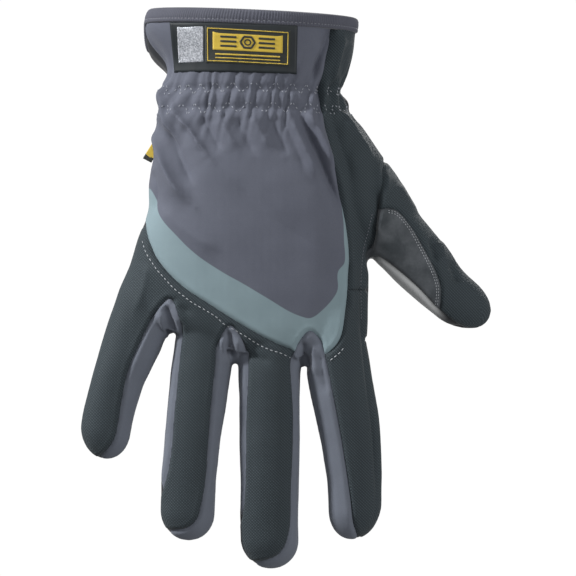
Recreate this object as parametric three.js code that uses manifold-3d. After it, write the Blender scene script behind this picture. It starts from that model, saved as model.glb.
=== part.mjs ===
// A right-hand mechanic glove in the form that it has when it is worn, hollow and open at the cuff.
// The fingers point down -Z, the back of the hand faces -Y and the thumb is on the +X side.
// The origin is the middle of the wrist opening. Lengths are in millimetres.
import * as THREE from "three";
import { mergeVertices } from "three/addons/utils/BufferGeometryUtils.js";
import Module from "manifold-3d";

// The hand of the glove
const bodyLength = 154; // from the cuff edge to the crotch of the middle finger
const palmWidth = 99; // across the middle of the hand
const palmDepth = 47; // from the back to the palm
const pinkyLength = 91;
const pinkyWidth = 26.4;
const ringLength = 115.9;
const ringWidth = 26.6;
const middleLength = 125.8;
const middleWidth = 27.5;
const indexLength = 113.4;
const indexWidth = 29.1;
const thumbLength = 119.9;
const thumbWidth = 34.2;

// The material and how the panels meet
const fabricWall = 1.6;
const seamGap = 0.3;
const bindingDepth = 6.4; // height of the binding on the cuff edge
const bindingWall = 2.6;
const labelWall = 0.7;
const patchWall = 0.5; // the reflector and the badge on the label
const tagWall = 0.9;

// The form of the worn glove
const gatherDepth = 0.8; // of the elastic pleats round the wrist
const gatherCount = 10;
const gatherDown = 0.235; // the middle of the pleats, as a share of the body length
const gatherReach = 0.055; // how far they reach from there, as a share of the body length
const foldHeight = 1.7;
const foldWidth = 4.2;
const fingerCurl = 13; // how far the middle fingertip leans to the palm side
const curlStart = 0.75; // the fingers bend from this share of the body length
const curlReach = 0.87; // and lean that far after this further share of it
const thumbLean = 17; // how far the thumb tip leans to the palm side
const leanStart = 0.42; // the thumb bends from this share of the palm width
const leanReach = 0.68; // and leans that far after this further share of it
const palmCup = 3.5; // how far the edges of the palm lie behind its middle
const cuffSlope = 4.4; // fall of the cuff edge from the little finger's side to the thumb's side
const cuffRise = 2.2; // height of the cuff edge over the origin on the little finger's side
const cuffDip = 13; // fall of the cuff edge on the palm side, below the little finger
const cuffFade = 0.3; // the slope of the cuff edge has died out at this share of the body length
const fingerSquare = 2.2; // 2 is an ellipse, and more is squarer

// How finely the surfaces are divided
const bodyColumns = gatherCount * 4;
const bodyRows = 16;
const fingerColumns = 12;
const fingerRows = 6;
const tipRows = 3;

const wasm = await Module();
wasm.setup();

// Sections of the hand, from the cuff edge (down 0) to the crotches (down 1).
// left and right are shares of the palm width, deep is a share of the palm depth.
const bodySections = [
  { down: 0.0, left: -0.452, right: 0.477, deep: 1.17, square: 2.2 },
  { down: 0.035, left: -0.482, right: 0.474, deep: 1.17, square: 2.2 },
  { down: 0.07, left: -0.468, right: 0.468, deep: 1.13, square: 2.2 },
  { down: 0.1, left: -0.432, right: 0.464, deep: 1.09, square: 2.2 },
  { down: 0.13, left: -0.385, right: 0.455, deep: 1.06, square: 2.25 },
  { down: 0.165, left: -0.368, right: 0.436, deep: 1.02, square: 2.3 },
  { down: 0.21, left: -0.382, right: 0.409, deep: 0.97, square: 2.3 },
  { down: 0.245, left: -0.4, right: 0.425, deep: 0.96, square: 2.3 },
  { down: 0.28, left: -0.409, right: 0.45, deep: 0.97, square: 2.35 },
  { down: 0.33, left: -0.409, right: 0.5, deep: 0.99, square: 2.4 },
  { down: 0.39, left: -0.418, right: 0.525, deep: 1.01, square: 2.45 },
  { down: 0.48, left: -0.464, right: 0.536, deep: 1.0, square: 2.5 },
  { down: 0.57, left: -0.464, right: 0.541, deep: 0.97, square: 2.5 },
  { down: 0.655, left: -0.516, right: 0.541, deep: 0.91, square: 2.5 },
  { down: 0.74, left: -0.549, right: 0.536, deep: 0.84, square: 2.5 },
  { down: 0.83, left: -0.58, right: 0.532, deep: 0.77, square: 2.5 },
  { down: 0.92, left: -0.612, right: 0.53, deep: 0.68, square: 2.5 },
  { down: 0.97, left: -0.622, right: 0.528, deep: 0.58, square: 2.4 },
  { down: 1.0, left: -0.618, right: 0.522, deep: 0.4, square: 2.2 },
];

// How far down the hand ends at each place across it.
const crotchLine = [
  { across: -0.66, down: 0.86 },
  { across: -0.37, down: 0.915 },
  { across: -0.08, down: 0.985 },
  { across: 0.24, down: 1.0 },
  { across: 0.55, down: 0.97 },
];
const crotchStart = 0.6; // above this share of the length the sections are level

// Each finger starts inside the hand. across and down place its root, splay is in degrees
// from straight down, and each section gives how far the finger's middle lies to the thumb side,
// and its width and depth, as shares of the finger's width.
const fingers = {
  pinky: {
    across: -0.414,
    down: 0.728,
    splay: -16.4,
    length: pinkyLength,
    width: pinkyWidth,
    sections: [
      { along: 0.0, aside: 0.0, wide: 0.95, deep: 0.95 },
      { along: 0.18, aside: -0.041, wide: 0.99, deep: 0.95 },
      { along: 0.387, aside: -0.064, wide: 1.0, deep: 0.9 },
      { along: 0.593, aside: -0.135, wide: 0.87, deep: 0.82 },
      { along: 0.8, aside: -0.13, wide: 0.853, deep: 0.76 },
      { along: 1.0, aside: 0.0, wide: 0.85, deep: 0.72 },
    ],
  },
  ring: {
    across: -0.179,
    down: 0.786,
    splay: -5.3,
    length: ringLength,
    width: ringWidth,
    sections: [
      { along: 0.0, aside: 0.0, wide: 1.0, deep: 1.02 },
      { along: 0.33, aside: -0.041, wide: 1.0, deep: 0.96 },
      { along: 0.448, aside: -0.053, wide: 0.976, deep: 0.92 },
      { along: 0.604, aside: -0.083, wide: 0.929, deep: 0.86 },
      { along: 0.76, aside: -0.088, wide: 0.925, deep: 0.82 },
      { along: 1.0, aside: 0.0, wide: 0.92, deep: 0.76 },
    ],
  },
  middle: {
    across: 0.086,
    down: 0.801,
    splay: 0.4,
    length: middleLength,
    width: middleWidth,
    sections: [
      { along: 0.0, aside: 0.0, wide: 1.0, deep: 1.02 },
      { along: 0.322, aside: -0.018, wide: 1.0, deep: 0.98 },
      { along: 0.394, aside: -0.018, wide: 0.967, deep: 0.95 },
      { along: 0.537, aside: -0.018, wide: 0.984, deep: 0.9 },
      { along: 0.68, aside: -0.023, wide: 0.951, deep: 0.85 },
      { along: 0.823, aside: -0.043, wide: 0.951, deep: 0.82 },
      { along: 1.0, aside: 0.0, wide: 0.95, deep: 0.78 },
    ],
  },
  index: {
    across: 0.336,
    down: 0.801,
    splay: 6.4,
    length: indexLength,
    width: indexWidth,
    sections: [
      { along: 0.0, aside: 0.0, wide: 1.0, deep: 0.98 },
      { along: 0.24, aside: 0.054, wide: 1.0, deep: 0.95 },
      { along: 0.359, aside: 0.083, wide: 1.0, deep: 0.91 },
      { along: 0.52, aside: 0.13, wide: 0.969, deep: 0.86 },
      { along: 0.599, aside: 0.142, wide: 0.923, deep: 0.83 },
      { along: 0.758, aside: 0.143, wide: 0.85, deep: 0.78 },
      { along: 0.878, aside: 0.091, wide: 0.83, deep: 0.76 },
      { along: 1.0, aside: 0.0, wide: 0.83, deep: 0.72 },
    ],
  },
  thumb: {
    across: 0.305,
    down: 0.298,
    splay: 40.1,
    length: thumbLength,
    width: thumbWidth,
    sections: [
      { along: 0.0, aside: 0.0, wide: 0.58, deep: 0.8 },
      { along: 0.123, aside: -0.141, wide: 1.0, deep: 0.98 },
      { along: 0.26, aside: -0.183, wide: 1.0, deep: 0.98 },
      { along: 0.403, aside: -0.192, wide: 0.947, deep: 0.93 },
      { along: 0.528, aside: -0.222, wide: 0.842, deep: 0.84 },
      { along: 0.69, aside: -0.193, wide: 0.79, deep: 0.72 },
      { along: 0.802, aside: -0.174, wide: 0.7, deep: 0.65 },
      { along: 1.0, aside: 0.0, wide: 0.67, deep: 0.58 },
    ],
  },
};

// Folds of the back of the hand, each a ridge or a dent (negative high) along a line.
// across and down are shares of the palm width and of the body length, high and wide of the fold sizes.
const folds = [
  { across: -0.37, down: 0.17, toAcross: -0.335, toDown: 0.37, high: 1.0, wide: 0.7 },
  { across: -0.335, down: 0.25, toAcross: -0.19, toDown: 0.42, high: 1.0, wide: 0.75 },
  { across: -0.395, down: 0.34, toAcross: -0.27, toDown: 0.56, high: 1.1, wide: 0.9 },
  { across: -0.3, down: 0.34, toAcross: -0.2, toDown: 0.52, high: -0.8, wide: 1.0 },
  { across: 0.2, down: 0.29, toAcross: 0.42, toDown: 0.57, high: -1.1, wide: 0.9 },
  { across: 0.29, down: 0.29, toAcross: 0.47, toDown: 0.45, high: 0.9, wide: 0.9 },
  { across: 0.05, down: 0.3, toAcross: 0.17, toDown: 0.42, high: -0.6, wide: 0.8 },
  { across: 0.36, down: 0.07, toAcross: 0.27, toDown: 0.22, high: -0.9, wide: 0.7 },
];

// Seams on a finger. along is a share of the finger's length, and side runs from -1 on the finger's
// little-finger side to 1 on its thumb side.
const fingerSeams = {
  pinkyInner: [
    { along: 0.193, side: 0.524 },
    { along: 0.268, side: 0.394 },
    { along: 0.412, side: 0.26 },
    { along: 0.537, side: 0.267 },
    { along: 0.672, side: 0.395 },
    { along: 0.887, side: 0.47 },
    { along: 0.97, side: 0.127 },
    { along: 1.06, side: -0.4 },
  ],
  ringOuter: [
    { along: 0.169, side: -0.818 },
    { along: 0.26, side: -0.797 },
    { along: 0.486, side: -0.783 },
    { along: 0.692, side: -0.761 },
    { along: 0.799, side: -0.963 },
    { along: 0.89, side: -1.3 },
  ],
  ringInner: [
    { along: 0.227, side: 0.467 },
    { along: 0.311, side: 0.497 },
    { along: 0.44, side: 0.515 },
    { along: 0.623, side: 0.629 },
    { along: 0.756, side: 0.671 },
    { along: 0.846, side: 0.536 },
    { along: 0.91, side: 0.372 },
    { along: 0.95, side: 0.0 },
    { along: 0.965, side: -0.5 },
    { along: 0.972, side: -1.1 },
  ],
  middleOuter: [
    { along: 0.188, side: -0.839 },
    { along: 0.271, side: -0.727 },
    { along: 0.33, side: -0.728 },
    { along: 0.449, side: -0.817 },
    { along: 0.608, side: -0.848 },
    { along: 0.804, side: -0.968 },
    { along: 0.876, side: -1.3 },
  ],
  middleInner: [
    { along: 0.222, side: 0.793 },
    { along: 0.256, side: 0.712 },
    { along: 0.306, side: 0.728 },
    { along: 0.412, side: 0.827 },
    { along: 0.559, side: 0.81 },
    { along: 0.723, side: 0.765 },
    { along: 0.854, side: 0.728 },
    { along: 0.94, side: 0.35 },
    { along: 0.972, side: -0.3 },
    { along: 0.98, side: -1.1 },
  ],
  indexOuter: [
    { along: 0.19, side: -0.42 },
    { along: 0.231, side: -0.37 },
    { along: 0.355, side: -0.33 },
    { along: 0.604, side: -0.332 },
    { along: 0.825, side: -0.212 },
    { along: 0.935, side: -0.06 },
    { along: 0.981, side: 0.102 },
    { along: 1.06, side: 0.3 },
  ],
  patchUpper: [
    { along: 0.36, side: -0.95 },
    { along: 0.375, side: -0.45 },
    { along: 0.405, side: -0.05 },
    { along: 0.428, side: 0.261 },
    { along: 0.458, side: 0.464 },
    { along: 0.534, side: 0.574 },
    { along: 0.607, side: 0.452 },
    { along: 0.683, side: 0.291 },
    { along: 0.744, side: 0.118 },
    { along: 0.787, side: -0.117 },
    { along: 0.819, side: -0.454 },
    { along: 0.85, side: -0.86 },
  ],
  thumbRim: [
    { along: 0.535, side: -1.06 },
    { along: 0.544, side: -0.908 },
    { along: 0.637, side: -0.735 },
    { along: 0.74, side: -0.686 },
    { along: 0.844, side: -0.8 },
    { along: 0.93, side: -0.8 },
    { along: 1.01, side: -0.6 },
    { along: 1.1, side: -0.4 },
  ],
};

// Seams on the hand, as shares of the palm width and of the body length.
const sideSeam = [
  { across: 0.386, down: -0.12 },
  { across: 0.373, down: 0.064 },
  { across: 0.341, down: 0.136 },
  { across: 0.313, down: 0.227 },
  { across: 0.325, down: 0.298 },
  { across: 0.385, down: 0.454 },
  { across: 0.42, down: 0.567 },
  { across: 0.445, down: 0.684 },
  { across: 0.44, down: 0.769 },
  { across: 0.427, down: 0.872 },
  { across: 0.4, down: 0.945 },
  { across: 0.335, down: 0.987 },
  { across: 0.28, down: 0.996 },
];
const knuckleSeam = [
  { across: 0.25, down: 0.991 },
  { across: 0.195, down: 0.977 },
  { across: 0.075, down: 0.944 },
  { across: -0.034, down: 0.904 },
  { across: -0.184, down: 0.843 },
  { across: -0.316, down: 0.785 },
  { across: -0.418, down: 0.714 },
  { across: -0.46, down: 0.66 },
  { across: -0.52, down: 0.57 },
  { across: -0.7, down: 0.52 },
];
const thumbSeam = [
  { across: 0.72, down: 0.27 },
  { across: 0.605, down: 0.432 },
  { across: 0.59, down: 0.503 },
  { across: 0.57, down: 0.593 },
  { across: 0.555, down: 0.634 },
  { across: 0.535, down: 0.71 },
  { across: 0.56, down: 0.78 },
];
// Points on the thumb that lead a cut round past its tip and back below it, clear of the index finger
const belowThumb = [
  { along: 1.575, side: 0.87 },
  { along: 1.12, side: -4.7 },
  { along: 0.663, side: -1.37 },
  { along: 0.575, side: -1.25 },
];
const besideThumb = [
  { across: 0.57, down: 0.82 },
  { across: 2.0, down: 1.2 },
  { across: 2.0, down: 0.2 },
];
const indexSeamDown = 0.8; // the short seam between the side panel and the index finger
const webTops = {
  pinkyRing: { across: -0.363, down: 0.826 },
  ringMiddle: { across: -0.092, down: 0.904 },
  middleIndex: { across: 0.267, down: 0.919 },
};
// The ends of the finger seams on the palm side, and the place across two body lengths down that
// the cut between two fingers runs to
const palmDivides = [
  { across: -0.8, down: 0.79, below: -2 },
  { across: -0.37, down: 0.9, below: -0.75 },
  { across: -0.08, down: 0.985, below: -0.14 },
  { across: 0.245, down: 0.99, below: 0.34 },
  { across: 0.8, down: 0.9, below: 2 },
];
const fingerPalms = ["pinky_palm", "ring_palm", "middle_palm", "index_palm"];
const labelOutline = { left: -0.35, right: 0.209, top: 0.052, bottom: 0.176 };
const reflectorOutline = { left: -0.322, right: -0.207, top: 0.066, bottom: 0.146 };
const badgeOutline = { left: -0.196, right: 0.18, top: 0.066, bottom: 0.158 };
const sideTag = { across: -0.4, down: 0.375, wide: 0.1, long: 0.1 };

const farAway = 3 * bodyLength; // past the whole glove

// The value of one column of a table at a place, on straight lines between its rows.
function read(table, key, at, column) {
  const next = table.findIndex((row) => row[key] >= at);
  if (next <= 0) return next === 0 ? table[0][column] : table[table.length - 1][column];
  const from = table[next - 1];
  const to = table[next];
  const part = (at - from[key]) / (to[key] - from[key]);
  return from[column] + part * (to[column] - from[column]);
}

function smooth(part) {
  const t = Math.min(1, Math.max(0, part));
  return t * t * (3 - 2 * t);
}

// A point of a rounded rectangle-like ring, at an angle from +X towards the back of the hand.
function ringPoint(halfWidth, halfDepth, square, angle) {
  const c = Math.cos(angle);
  const s = Math.sin(angle);
  return {
    x: halfWidth * Math.sign(c) * Math.abs(c) ** (2 / square),
    y: -halfDepth * Math.sign(s) * Math.abs(s) ** (2 / square),
  };
}

// How far the folds raise the back of the hand at a place.
function foldRise(x, z) {
  let rise = 0;
  for (const fold of folds) {
    const from = new THREE.Vector2(fold.across * palmWidth, -fold.down * bodyLength);
    const to = new THREE.Vector2(fold.toAcross * palmWidth, -fold.toDown * bodyLength);
    const line = to.clone().sub(from);
    const place = new THREE.Vector2(x, z).sub(from);
    const part = Math.min(1, Math.max(0, place.dot(line) / line.lengthSq()));
    const away = place.distanceTo(line.clone().multiplyScalar(part));
    rise += fold.high * foldHeight * Math.exp(-((away / (fold.wide * foldWidth)) ** 2));
  }
  return rise;
}

// The cuff edge falls towards the thumb, and dips on the palm side below the little finger.
function cuffFall(x, y) {
  const part = x / palmWidth;
  const dip = smooth((y / palmDepth + 0.12) / 0.3) * smooth((0.05 - part) / 0.5);
  return cuffSlope * (part + 0.4) - cuffRise + cuffDip * dip;
}

// A point on the skin of the hand, moved in by inset, before the hand takes its worn bend.
function bodyPoint(angle, down, inset) {
  const left = read(bodySections, "down", down, "left") * palmWidth;
  const right = read(bodySections, "down", down, "right") * palmWidth;
  const halfDepth = (read(bodySections, "down", down, "deep") * palmDepth) / 2;
  const square = read(bodySections, "down", down, "square");
  const middle = (left + right) / 2;
  const skin = ringPoint((right - left) / 2, halfDepth, square, angle);
  const ring = ringPoint((right - left) / 2 - inset, halfDepth - inset, square, angle);
  const gather = gatherDepth * Math.cos(gatherCount * angle) * Math.exp(-(((down - gatherDown) / gatherReach) ** 2));
  const x = middle + ring.x + gather * Math.cos(angle);
  let y = ring.y - gather * Math.sin(angle);
  const end = read(crotchLine, "across", (middle + skin.x) / palmWidth, "down");
  const lowered = Math.max(0, (down - crotchStart) / (1 - crotchStart)) ** 2;
  let z = -bodyLength * (down - (1 - end) * lowered);
  z -= cuffFall(middle + skin.x, skin.y) * (1 - smooth(down / cuffFade));
  y -= foldRise(middle + skin.x, z) * smooth(-skin.y / halfDepth);
  return new THREE.Vector3(x, y, z);
}

// A finger's own directions: along it, and across it towards the thumb.
function fingerFrame(finger) {
  const turn = THREE.MathUtils.degToRad(finger.splay);
  return {
    root: new THREE.Vector3(finger.across * palmWidth, 0, -finger.down * bodyLength),
    along: new THREE.Vector3(Math.sin(turn), 0, -Math.cos(turn)),
    aside: new THREE.Vector3(Math.cos(turn), 0, Math.sin(turn)),
  };
}

// A point on a line along a finger's width, where side 1 is its edge on the thumb side.
function fingerPlace(finger, along, side) {
  const frame = fingerFrame(finger);
  const middle = read(finger.sections, "along", along, "aside") * finger.width;
  const half = (read(finger.sections, "along", along, "wide") * finger.width) / 2;
  frame.root.addScaledVector(frame.along, along * finger.length);
  return frame.root.addScaledVector(frame.aside, middle + side * half);
}

function fingerPoint(finger, angle, along, inset) {
  const frame = fingerFrame(finger);
  const round = (0.5 * finger.width) / finger.length;
  const past = Math.max(0, (along - (1 - round)) / round);
  const shrink = Math.sqrt(Math.max(0, 1 - past ** 2));
  const middle = read(finger.sections, "along", along, "aside") * finger.width;
  const halfWidth = (read(finger.sections, "along", along, "wide") * finger.width) / 2 - inset;
  const halfDepth = (read(finger.sections, "along", along, "deep") * finger.width) / 2 - inset;
  const ring = ringPoint(halfWidth * shrink, halfDepth * shrink, fingerSquare, angle);
  return frame.root
    .addScaledVector(frame.along, along * (finger.length - inset))
    .addScaledVector(frame.aside, middle + ring.x)
    .add(new THREE.Vector3(0, ring.y, 0));
}

// A closed solid from rings of points, with its two ends closed by strips between the back
// and the palm side, so that an end may slope.
function ringSolid(rings) {
  const count = rings[0].length;
  const positions = rings.flat().flatMap((point) => [point.x, point.y, point.z]);
  const faces = [];
  for (let row = 0; row < rings.length - 1; row += 1) {
    for (let column = 0; column < count; column += 1) {
      const a = row * count + column;
      const b = row * count + ((column + 1) % count);
      faces.push(a, b, a + count, b, b + count, a + count);
    }
  }
  const last = (rings.length - 1) * count;
  for (let column = 0; column < count / 2; column += 1) {
    const mirror = (count - column) % count;
    const next = column + 1;
    const nextMirror = count - next;
    if (column > 0) {
      faces.push(mirror, next, column);
      faces.push(last + column, last + next, last + mirror);
    }
    if (next !== nextMirror) {
      faces.push(mirror, nextMirror, next);
      faces.push(last + next, last + nextMirror, last + mirror);
    }
  }
  return solidFrom(positions, faces);
}

// A manifold solid from points and faces, or from a geometry of three.js.
function solidFrom(positions, faces) {
  const geometry = new THREE.BufferGeometry();
  geometry.setAttribute("position", new THREE.Float32BufferAttribute(positions, 3));
  geometry.setIndex(faces);
  return solidOf(geometry);
}

function solidOf(geometry) {
  const bare = geometry.clone();
  bare.deleteAttribute("normal");
  bare.deleteAttribute("uv");
  const merged = mergeVertices(bare, 1e-4);
  const triVerts = [];
  const index = merged.index.array;
  for (let corner = 0; corner < index.length; corner += 3) {
    const [a, b, c] = [index[corner], index[corner + 1], index[corner + 2]];
    if (a !== b && b !== c && c !== a) triVerts.push(a, b, c);
  }
  return new wasm.Manifold(
    new wasm.Mesh({
      numProp: 3,
      vertProperties: merged.attributes.position.array,
      triVerts: new Uint32Array(triVerts),
    }),
  );
}

// The hand between two places down it.
function bodySolid(inset, from, to, rows) {
  const rings = [];
  for (let row = 0; row <= rows; row += 1) {
    const down = from + ((to - from) * row) / rows;
    const ring = [];
    for (let column = 0; column < bodyColumns; column += 1) {
      ring.push(bodyPoint((2 * Math.PI * column) / bodyColumns, down, inset));
    }
    rings.push(ring);
  }
  return ringSolid(rings);
}

function fingerSolid(finger, inset) {
  const round = (0.5 * finger.width) / finger.length;
  const places = [];
  for (let row = 0; row <= fingerRows; row += 1) {
    places.push(((1 - round) * row) / fingerRows);
  }
  for (let row = 1; row <= tipRows; row += 1) {
    places.push(1 - round + round * Math.sin((0.97 * Math.PI * row) / (2 * tipRows)));
  }
  const rings = places.map((along) => {
    const ring = [];
    for (let column = 0; column < fingerColumns; column += 1) {
      ring.push(fingerPoint(finger, (2 * Math.PI * column) / fingerColumns, along, inset));
    }
    return ring;
  });
  return ringSolid(rings);
}

// The whole glove as a full form, moved in by inset, from one place down to the fingertips.
function gloveSolid(inset, from) {
  let form = bodySolid(inset, from, 1, bodyRows);
  for (const finger of Object.values(fingers)) {
    form = form.add(fingerSolid(finger, inset));
  }
  return form;
}

// A prism that stands on an outline of the front view, from one depth to another.
function prism(outline, nearest, furthest) {
  const shape = new THREE.Shape(outline.map((point) => new THREE.Vector2(point.x, point.z)));
  const geometry = new THREE.ExtrudeGeometry(shape, { depth: furthest - nearest, bevelEnabled: false });
  geometry.rotateX(Math.PI / 2);
  geometry.translate(0, furthest, 0);
  return solidOf(geometry);
}

// An outline grown outwards by a distance.
function grown(outline, distance) {
  const points = outline.map((point) => new THREE.Vector2(point.x, point.z));
  const way = THREE.ShapeUtils.isClockWise(points) ? -1 : 1;
  return points.map((point, place) => {
    const before = points[(place + points.length - 1) % points.length];
    const after = points[(place + 1) % points.length];
    const inward = point.clone().sub(before).normalize();
    const outward = after.clone().sub(point).normalize();
    const normal = new THREE.Vector2(inward.y + outward.y, -inward.x - outward.x).normalize();
    const slant = Math.max(0.4, normal.dot(new THREE.Vector2(outward.y, -outward.x)));
    const moved = point.clone().addScaledVector(normal, (way * distance) / slant);
    return { x: moved.x, z: moved.y };
  });
}

function handPlace(row) {
  return new THREE.Vector3(row.across * palmWidth, 0, -row.down * bodyLength);
}

function seamOf(finger, rows) {
  return rows.map((row) => fingerPlace(finger, row.along, row.side));
}

// A smooth line through the points of a seam.
function curveThrough(points, pieces) {
  return new THREE.CatmullRomCurve3(points, false, "centripetal").getPoints(pieces);
}

function rectangle(outline) {
  return [
    handPlace({ across: outline.left, down: outline.top }),
    handPlace({ across: outline.right, down: outline.top }),
    handPlace({ across: outline.right, down: outline.bottom }),
    handPlace({ across: outline.left, down: outline.bottom }),
  ];
}

// The largest body of a solid. Slivers that a cut leaves at an edge fall away.
function largest(solid) {
  return solid.decompose().reduce((best, body) => (body.volume() > best.volume() ? body : best));
}

// Cuts the panel inside an outline out of a solid, and gives it and what is left.
function cutPanel(solid, outline) {
  return {
    panel: solid.intersect(prism(outline, -farAway, farAway)),
    rest: solid.subtract(prism(grown(outline, seamGap), -farAway, farAway)),
  };
}

// The shell of the glove below the cuff binding, which is cut off along the cuff edge
const bindingShare = bindingDepth / bodyLength;
const cuffRows = 4;
function cuffZone(end) {
  return bodySolid(-2 * bindingWall, -bindingShare, end, cuffRows);
}
const hollow = gloveSolid(fabricWall, -bindingShare);
const shell = gloveSolid(0, 0).subtract(hollow).subtract(cuffZone(bindingShare + seamGap / bodyLength));

// The palm side is everything behind the side seams, and the strip of the thumb below its rim seam.
const rimLine = curveThrough(seamOf(fingers.thumb, fingerSeams.thumbRim), 12);
const rimOutline = [...rimLine, ...seamOf(fingers.thumb, belowThumb)];
const wholeView = [
  new THREE.Vector3(-farAway, 0, farAway),
  new THREE.Vector3(farAway, 0, farAway),
  new THREE.Vector3(farAway, 0, -farAway),
  new THREE.Vector3(-farAway, 0, -farAway),
];
const palmSide = prism(wholeView, seamGap / 2, farAway).add(prism(rimOutline, -farAway, farAway));
const rimCut = prism(grown(rimOutline, seamGap), -farAway, farAway);
let back = shell.subtract(prism(wholeView, -seamGap / 2, farAway).add(rimCut));

// A fourchette runs up one finger's side, over the web and down the next finger's side.
const fourchetteRows = [
  {
    name: "fourchette_pinky_ring",
    from: "pinky",
    fromSeam: "pinkyInner",
    over: "pinkyRing",
    to: "ring",
    toSeam: "ringOuter",
  },
  {
    name: "fourchette_ring_middle",
    from: "ring",
    fromSeam: "ringInner",
    over: "ringMiddle",
    to: "middle",
    toSeam: "middleOuter",
  },
  {
    name: "fourchette_middle_index",
    from: "middle",
    fromSeam: "middleInner",
    over: "middleIndex",
    to: "index",
    toSeam: "indexOuter",
  },
];
const fourchetteSteps = 24;

function fourchetteOutline(row) {
  const upOne = seamOf(fingers[row.from], fingerSeams[row.fromSeam]).reverse();
  const downNext = seamOf(fingers[row.to], fingerSeams[row.toSeam]);
  const line = curveThrough([...upOne, handPlace(webTops[row.over]), ...downNext], fourchetteSteps);
  const below = -2 * bodyLength;
  return [...line, new THREE.Vector3(line.at(-1).x, 0, below), new THREE.Vector3(line[0].x, 0, below)];
}

const panels = {};
for (const row of fourchetteRows) {
  const cut = cutPanel(back, fourchetteOutline(row));
  panels[row.name] = cut.panel;
  back = cut.rest;
}

// The thumb lies past the seam at its base, with the suede patch below its own seam.
const thumbOutline = [...curveThrough(thumbSeam.map(handPlace), 10), ...besideThumb.map(handPlace)];
const thumbCut = cutPanel(back, thumbOutline);
back = thumbCut.rest;
const patchLine = curveThrough(seamOf(fingers.thumb, fingerSeams.patchUpper), 16);
const patchOutline = [...patchLine, ...seamOf(fingers.thumb, belowThumb)];
const patchCut = cutPanel(thumbCut.panel, patchOutline);
panels.thumb_patch = patchCut.panel;
panels.thumb_back = patchCut.rest;

// The grey back lies above the knuckle seam, on the little finger's side of the side seam.
const backOutline = [
  ...curveThrough(sideSeam.map(handPlace), 18),
  ...curveThrough(knuckleSeam.map(handPlace), 14),
  new THREE.Vector3(-palmWidth, 0, 0.3 * bodyLength),
  new THREE.Vector3(sideSeam[0].across * palmWidth, 0, 0.3 * bodyLength),
];
const backPanelCut = cutPanel(back, backOutline);
panels.back_panel = backPanelCut.panel;
back = backPanelCut.rest;

// What is left is the backs of three fingers, the side panel and the back of the index finger.
const fingersOutline = [
  new THREE.Vector3(-2 * palmWidth, 0, -0.4 * bodyLength),
  new THREE.Vector3(webTops.middleIndex.across * palmWidth, 0, -0.4 * bodyLength),
  new THREE.Vector3(webTops.middleIndex.across * palmWidth, 0, -2 * bodyLength),
  new THREE.Vector3(-2 * palmWidth, 0, -2 * bodyLength),
];
const fingersCut = cutPanel(back, fingersOutline);
panels.finger_back_panel = fingersCut.panel;
const indexOutline = [
  new THREE.Vector3(-2 * palmWidth, 0, -indexSeamDown * bodyLength),
  new THREE.Vector3(2 * palmWidth, 0, -indexSeamDown * bodyLength),
  new THREE.Vector3(2 * palmWidth, 0, -2 * bodyLength),
  new THREE.Vector3(-2 * palmWidth, 0, -2 * bodyLength),
];
const indexCut = cutPanel(fingersCut.rest, indexOutline);
panels.index_back = indexCut.panel;
panels.side_panel = indexCut.rest;

// The palm side has a piece for the thumb, one for each finger and one for the hand.
const thumbPalmCut = cutPanel(shell.intersect(palmSide), thumbOutline);
panels.thumb_palm = thumbPalmCut.panel;
let palm = thumbPalmCut.rest;
for (const [number, name] of fingerPalms.entries()) {
  const [from, to] = [palmDivides[number], palmDivides[number + 1]];
  const lower = [to, from].map((divide) => ({ across: divide.below, down: 2 }));
  const cut = cutPanel(palm, [from, to, ...lower].map(handPlace));
  panels[name] = cut.panel;
  palm = cut.rest;
}
panels.palm_panel = palm;

// The binding is a thicker ring along the cuff edge.
const bindingOut = (bindingWall - fabricWall) / 2;
panels.cuff_binding = bodySolid(-bindingOut, 0, 2 * bindingShare, cuffRows)
  .subtract(bodySolid(fabricWall + bindingOut, -bindingShare, 3 * bindingShare, cuffRows))
  .intersect(cuffZone(bindingShare));

// A layer that lies on the back of the hand, from one height over its skin to another.
function layer(outline, low, high) {
  const outerSkin = bodySolid(-high, 0, 1, bodyRows);
  const innerSkin = bodySolid(-low, 0, 1, bodyRows);
  return outerSkin.subtract(innerSkin).intersect(prism(rectangle(outline), -farAway, 0));
}
const labelTop = seamGap + labelWall;
panels.wrist_label = layer(labelOutline, seamGap, labelTop);
panels.label_reflector = layer(reflectorOutline, labelTop + seamGap, labelTop + seamGap + patchWall);
panels.label_badge = layer(badgeOutline, labelTop + seamGap, labelTop + seamGap + patchWall);

// The tag is a folded ribbon that stands out from the side seam.
const tagRoot = handPlace(sideTag);
const tagLong = sideTag.long * palmWidth;
const tagWide = sideTag.wide * palmWidth;
const tagCorners = [
  { out: 0, up: 1.15 },
  { out: 0, up: -0.1 },
  { out: 0.45, up: -0.95 },
  { out: 0.9, up: -0.62 },
];
const tagOutline = tagCorners.map(
  (corner) => new THREE.Vector3(tagRoot.x - corner.out * tagLong, 0, tagRoot.z + corner.up * tagWide),
);
panels.side_tag = prism(tagOutline, -tagWall, tagWall).subtract(bodySolid(-seamGap, 0, 1, bodyRows));

// The bend of the worn glove: fingers and thumb lean to the palm side, and the palm is cupped.
// The thumb's lean dies out towards the fingertips, which lie below the thumb.
function bend(x, z) {
  const down = Math.max(0, (-z / bodyLength - curlStart) / curlReach);
  const out = Math.max(0, (x / palmWidth - leanStart) / leanReach);
  const overFingers = smooth((1.25 + z / bodyLength) / 0.2);
  const across = Math.min(1, Math.abs(x) / (0.55 * palmWidth));
  const cup = palmCup * across ** 2 * smooth(-z / bodyLength / cuffFade);
  return fingerCurl * down ** 2 + thumbLean * out ** 1.6 * overFingers + cup;
}

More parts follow.
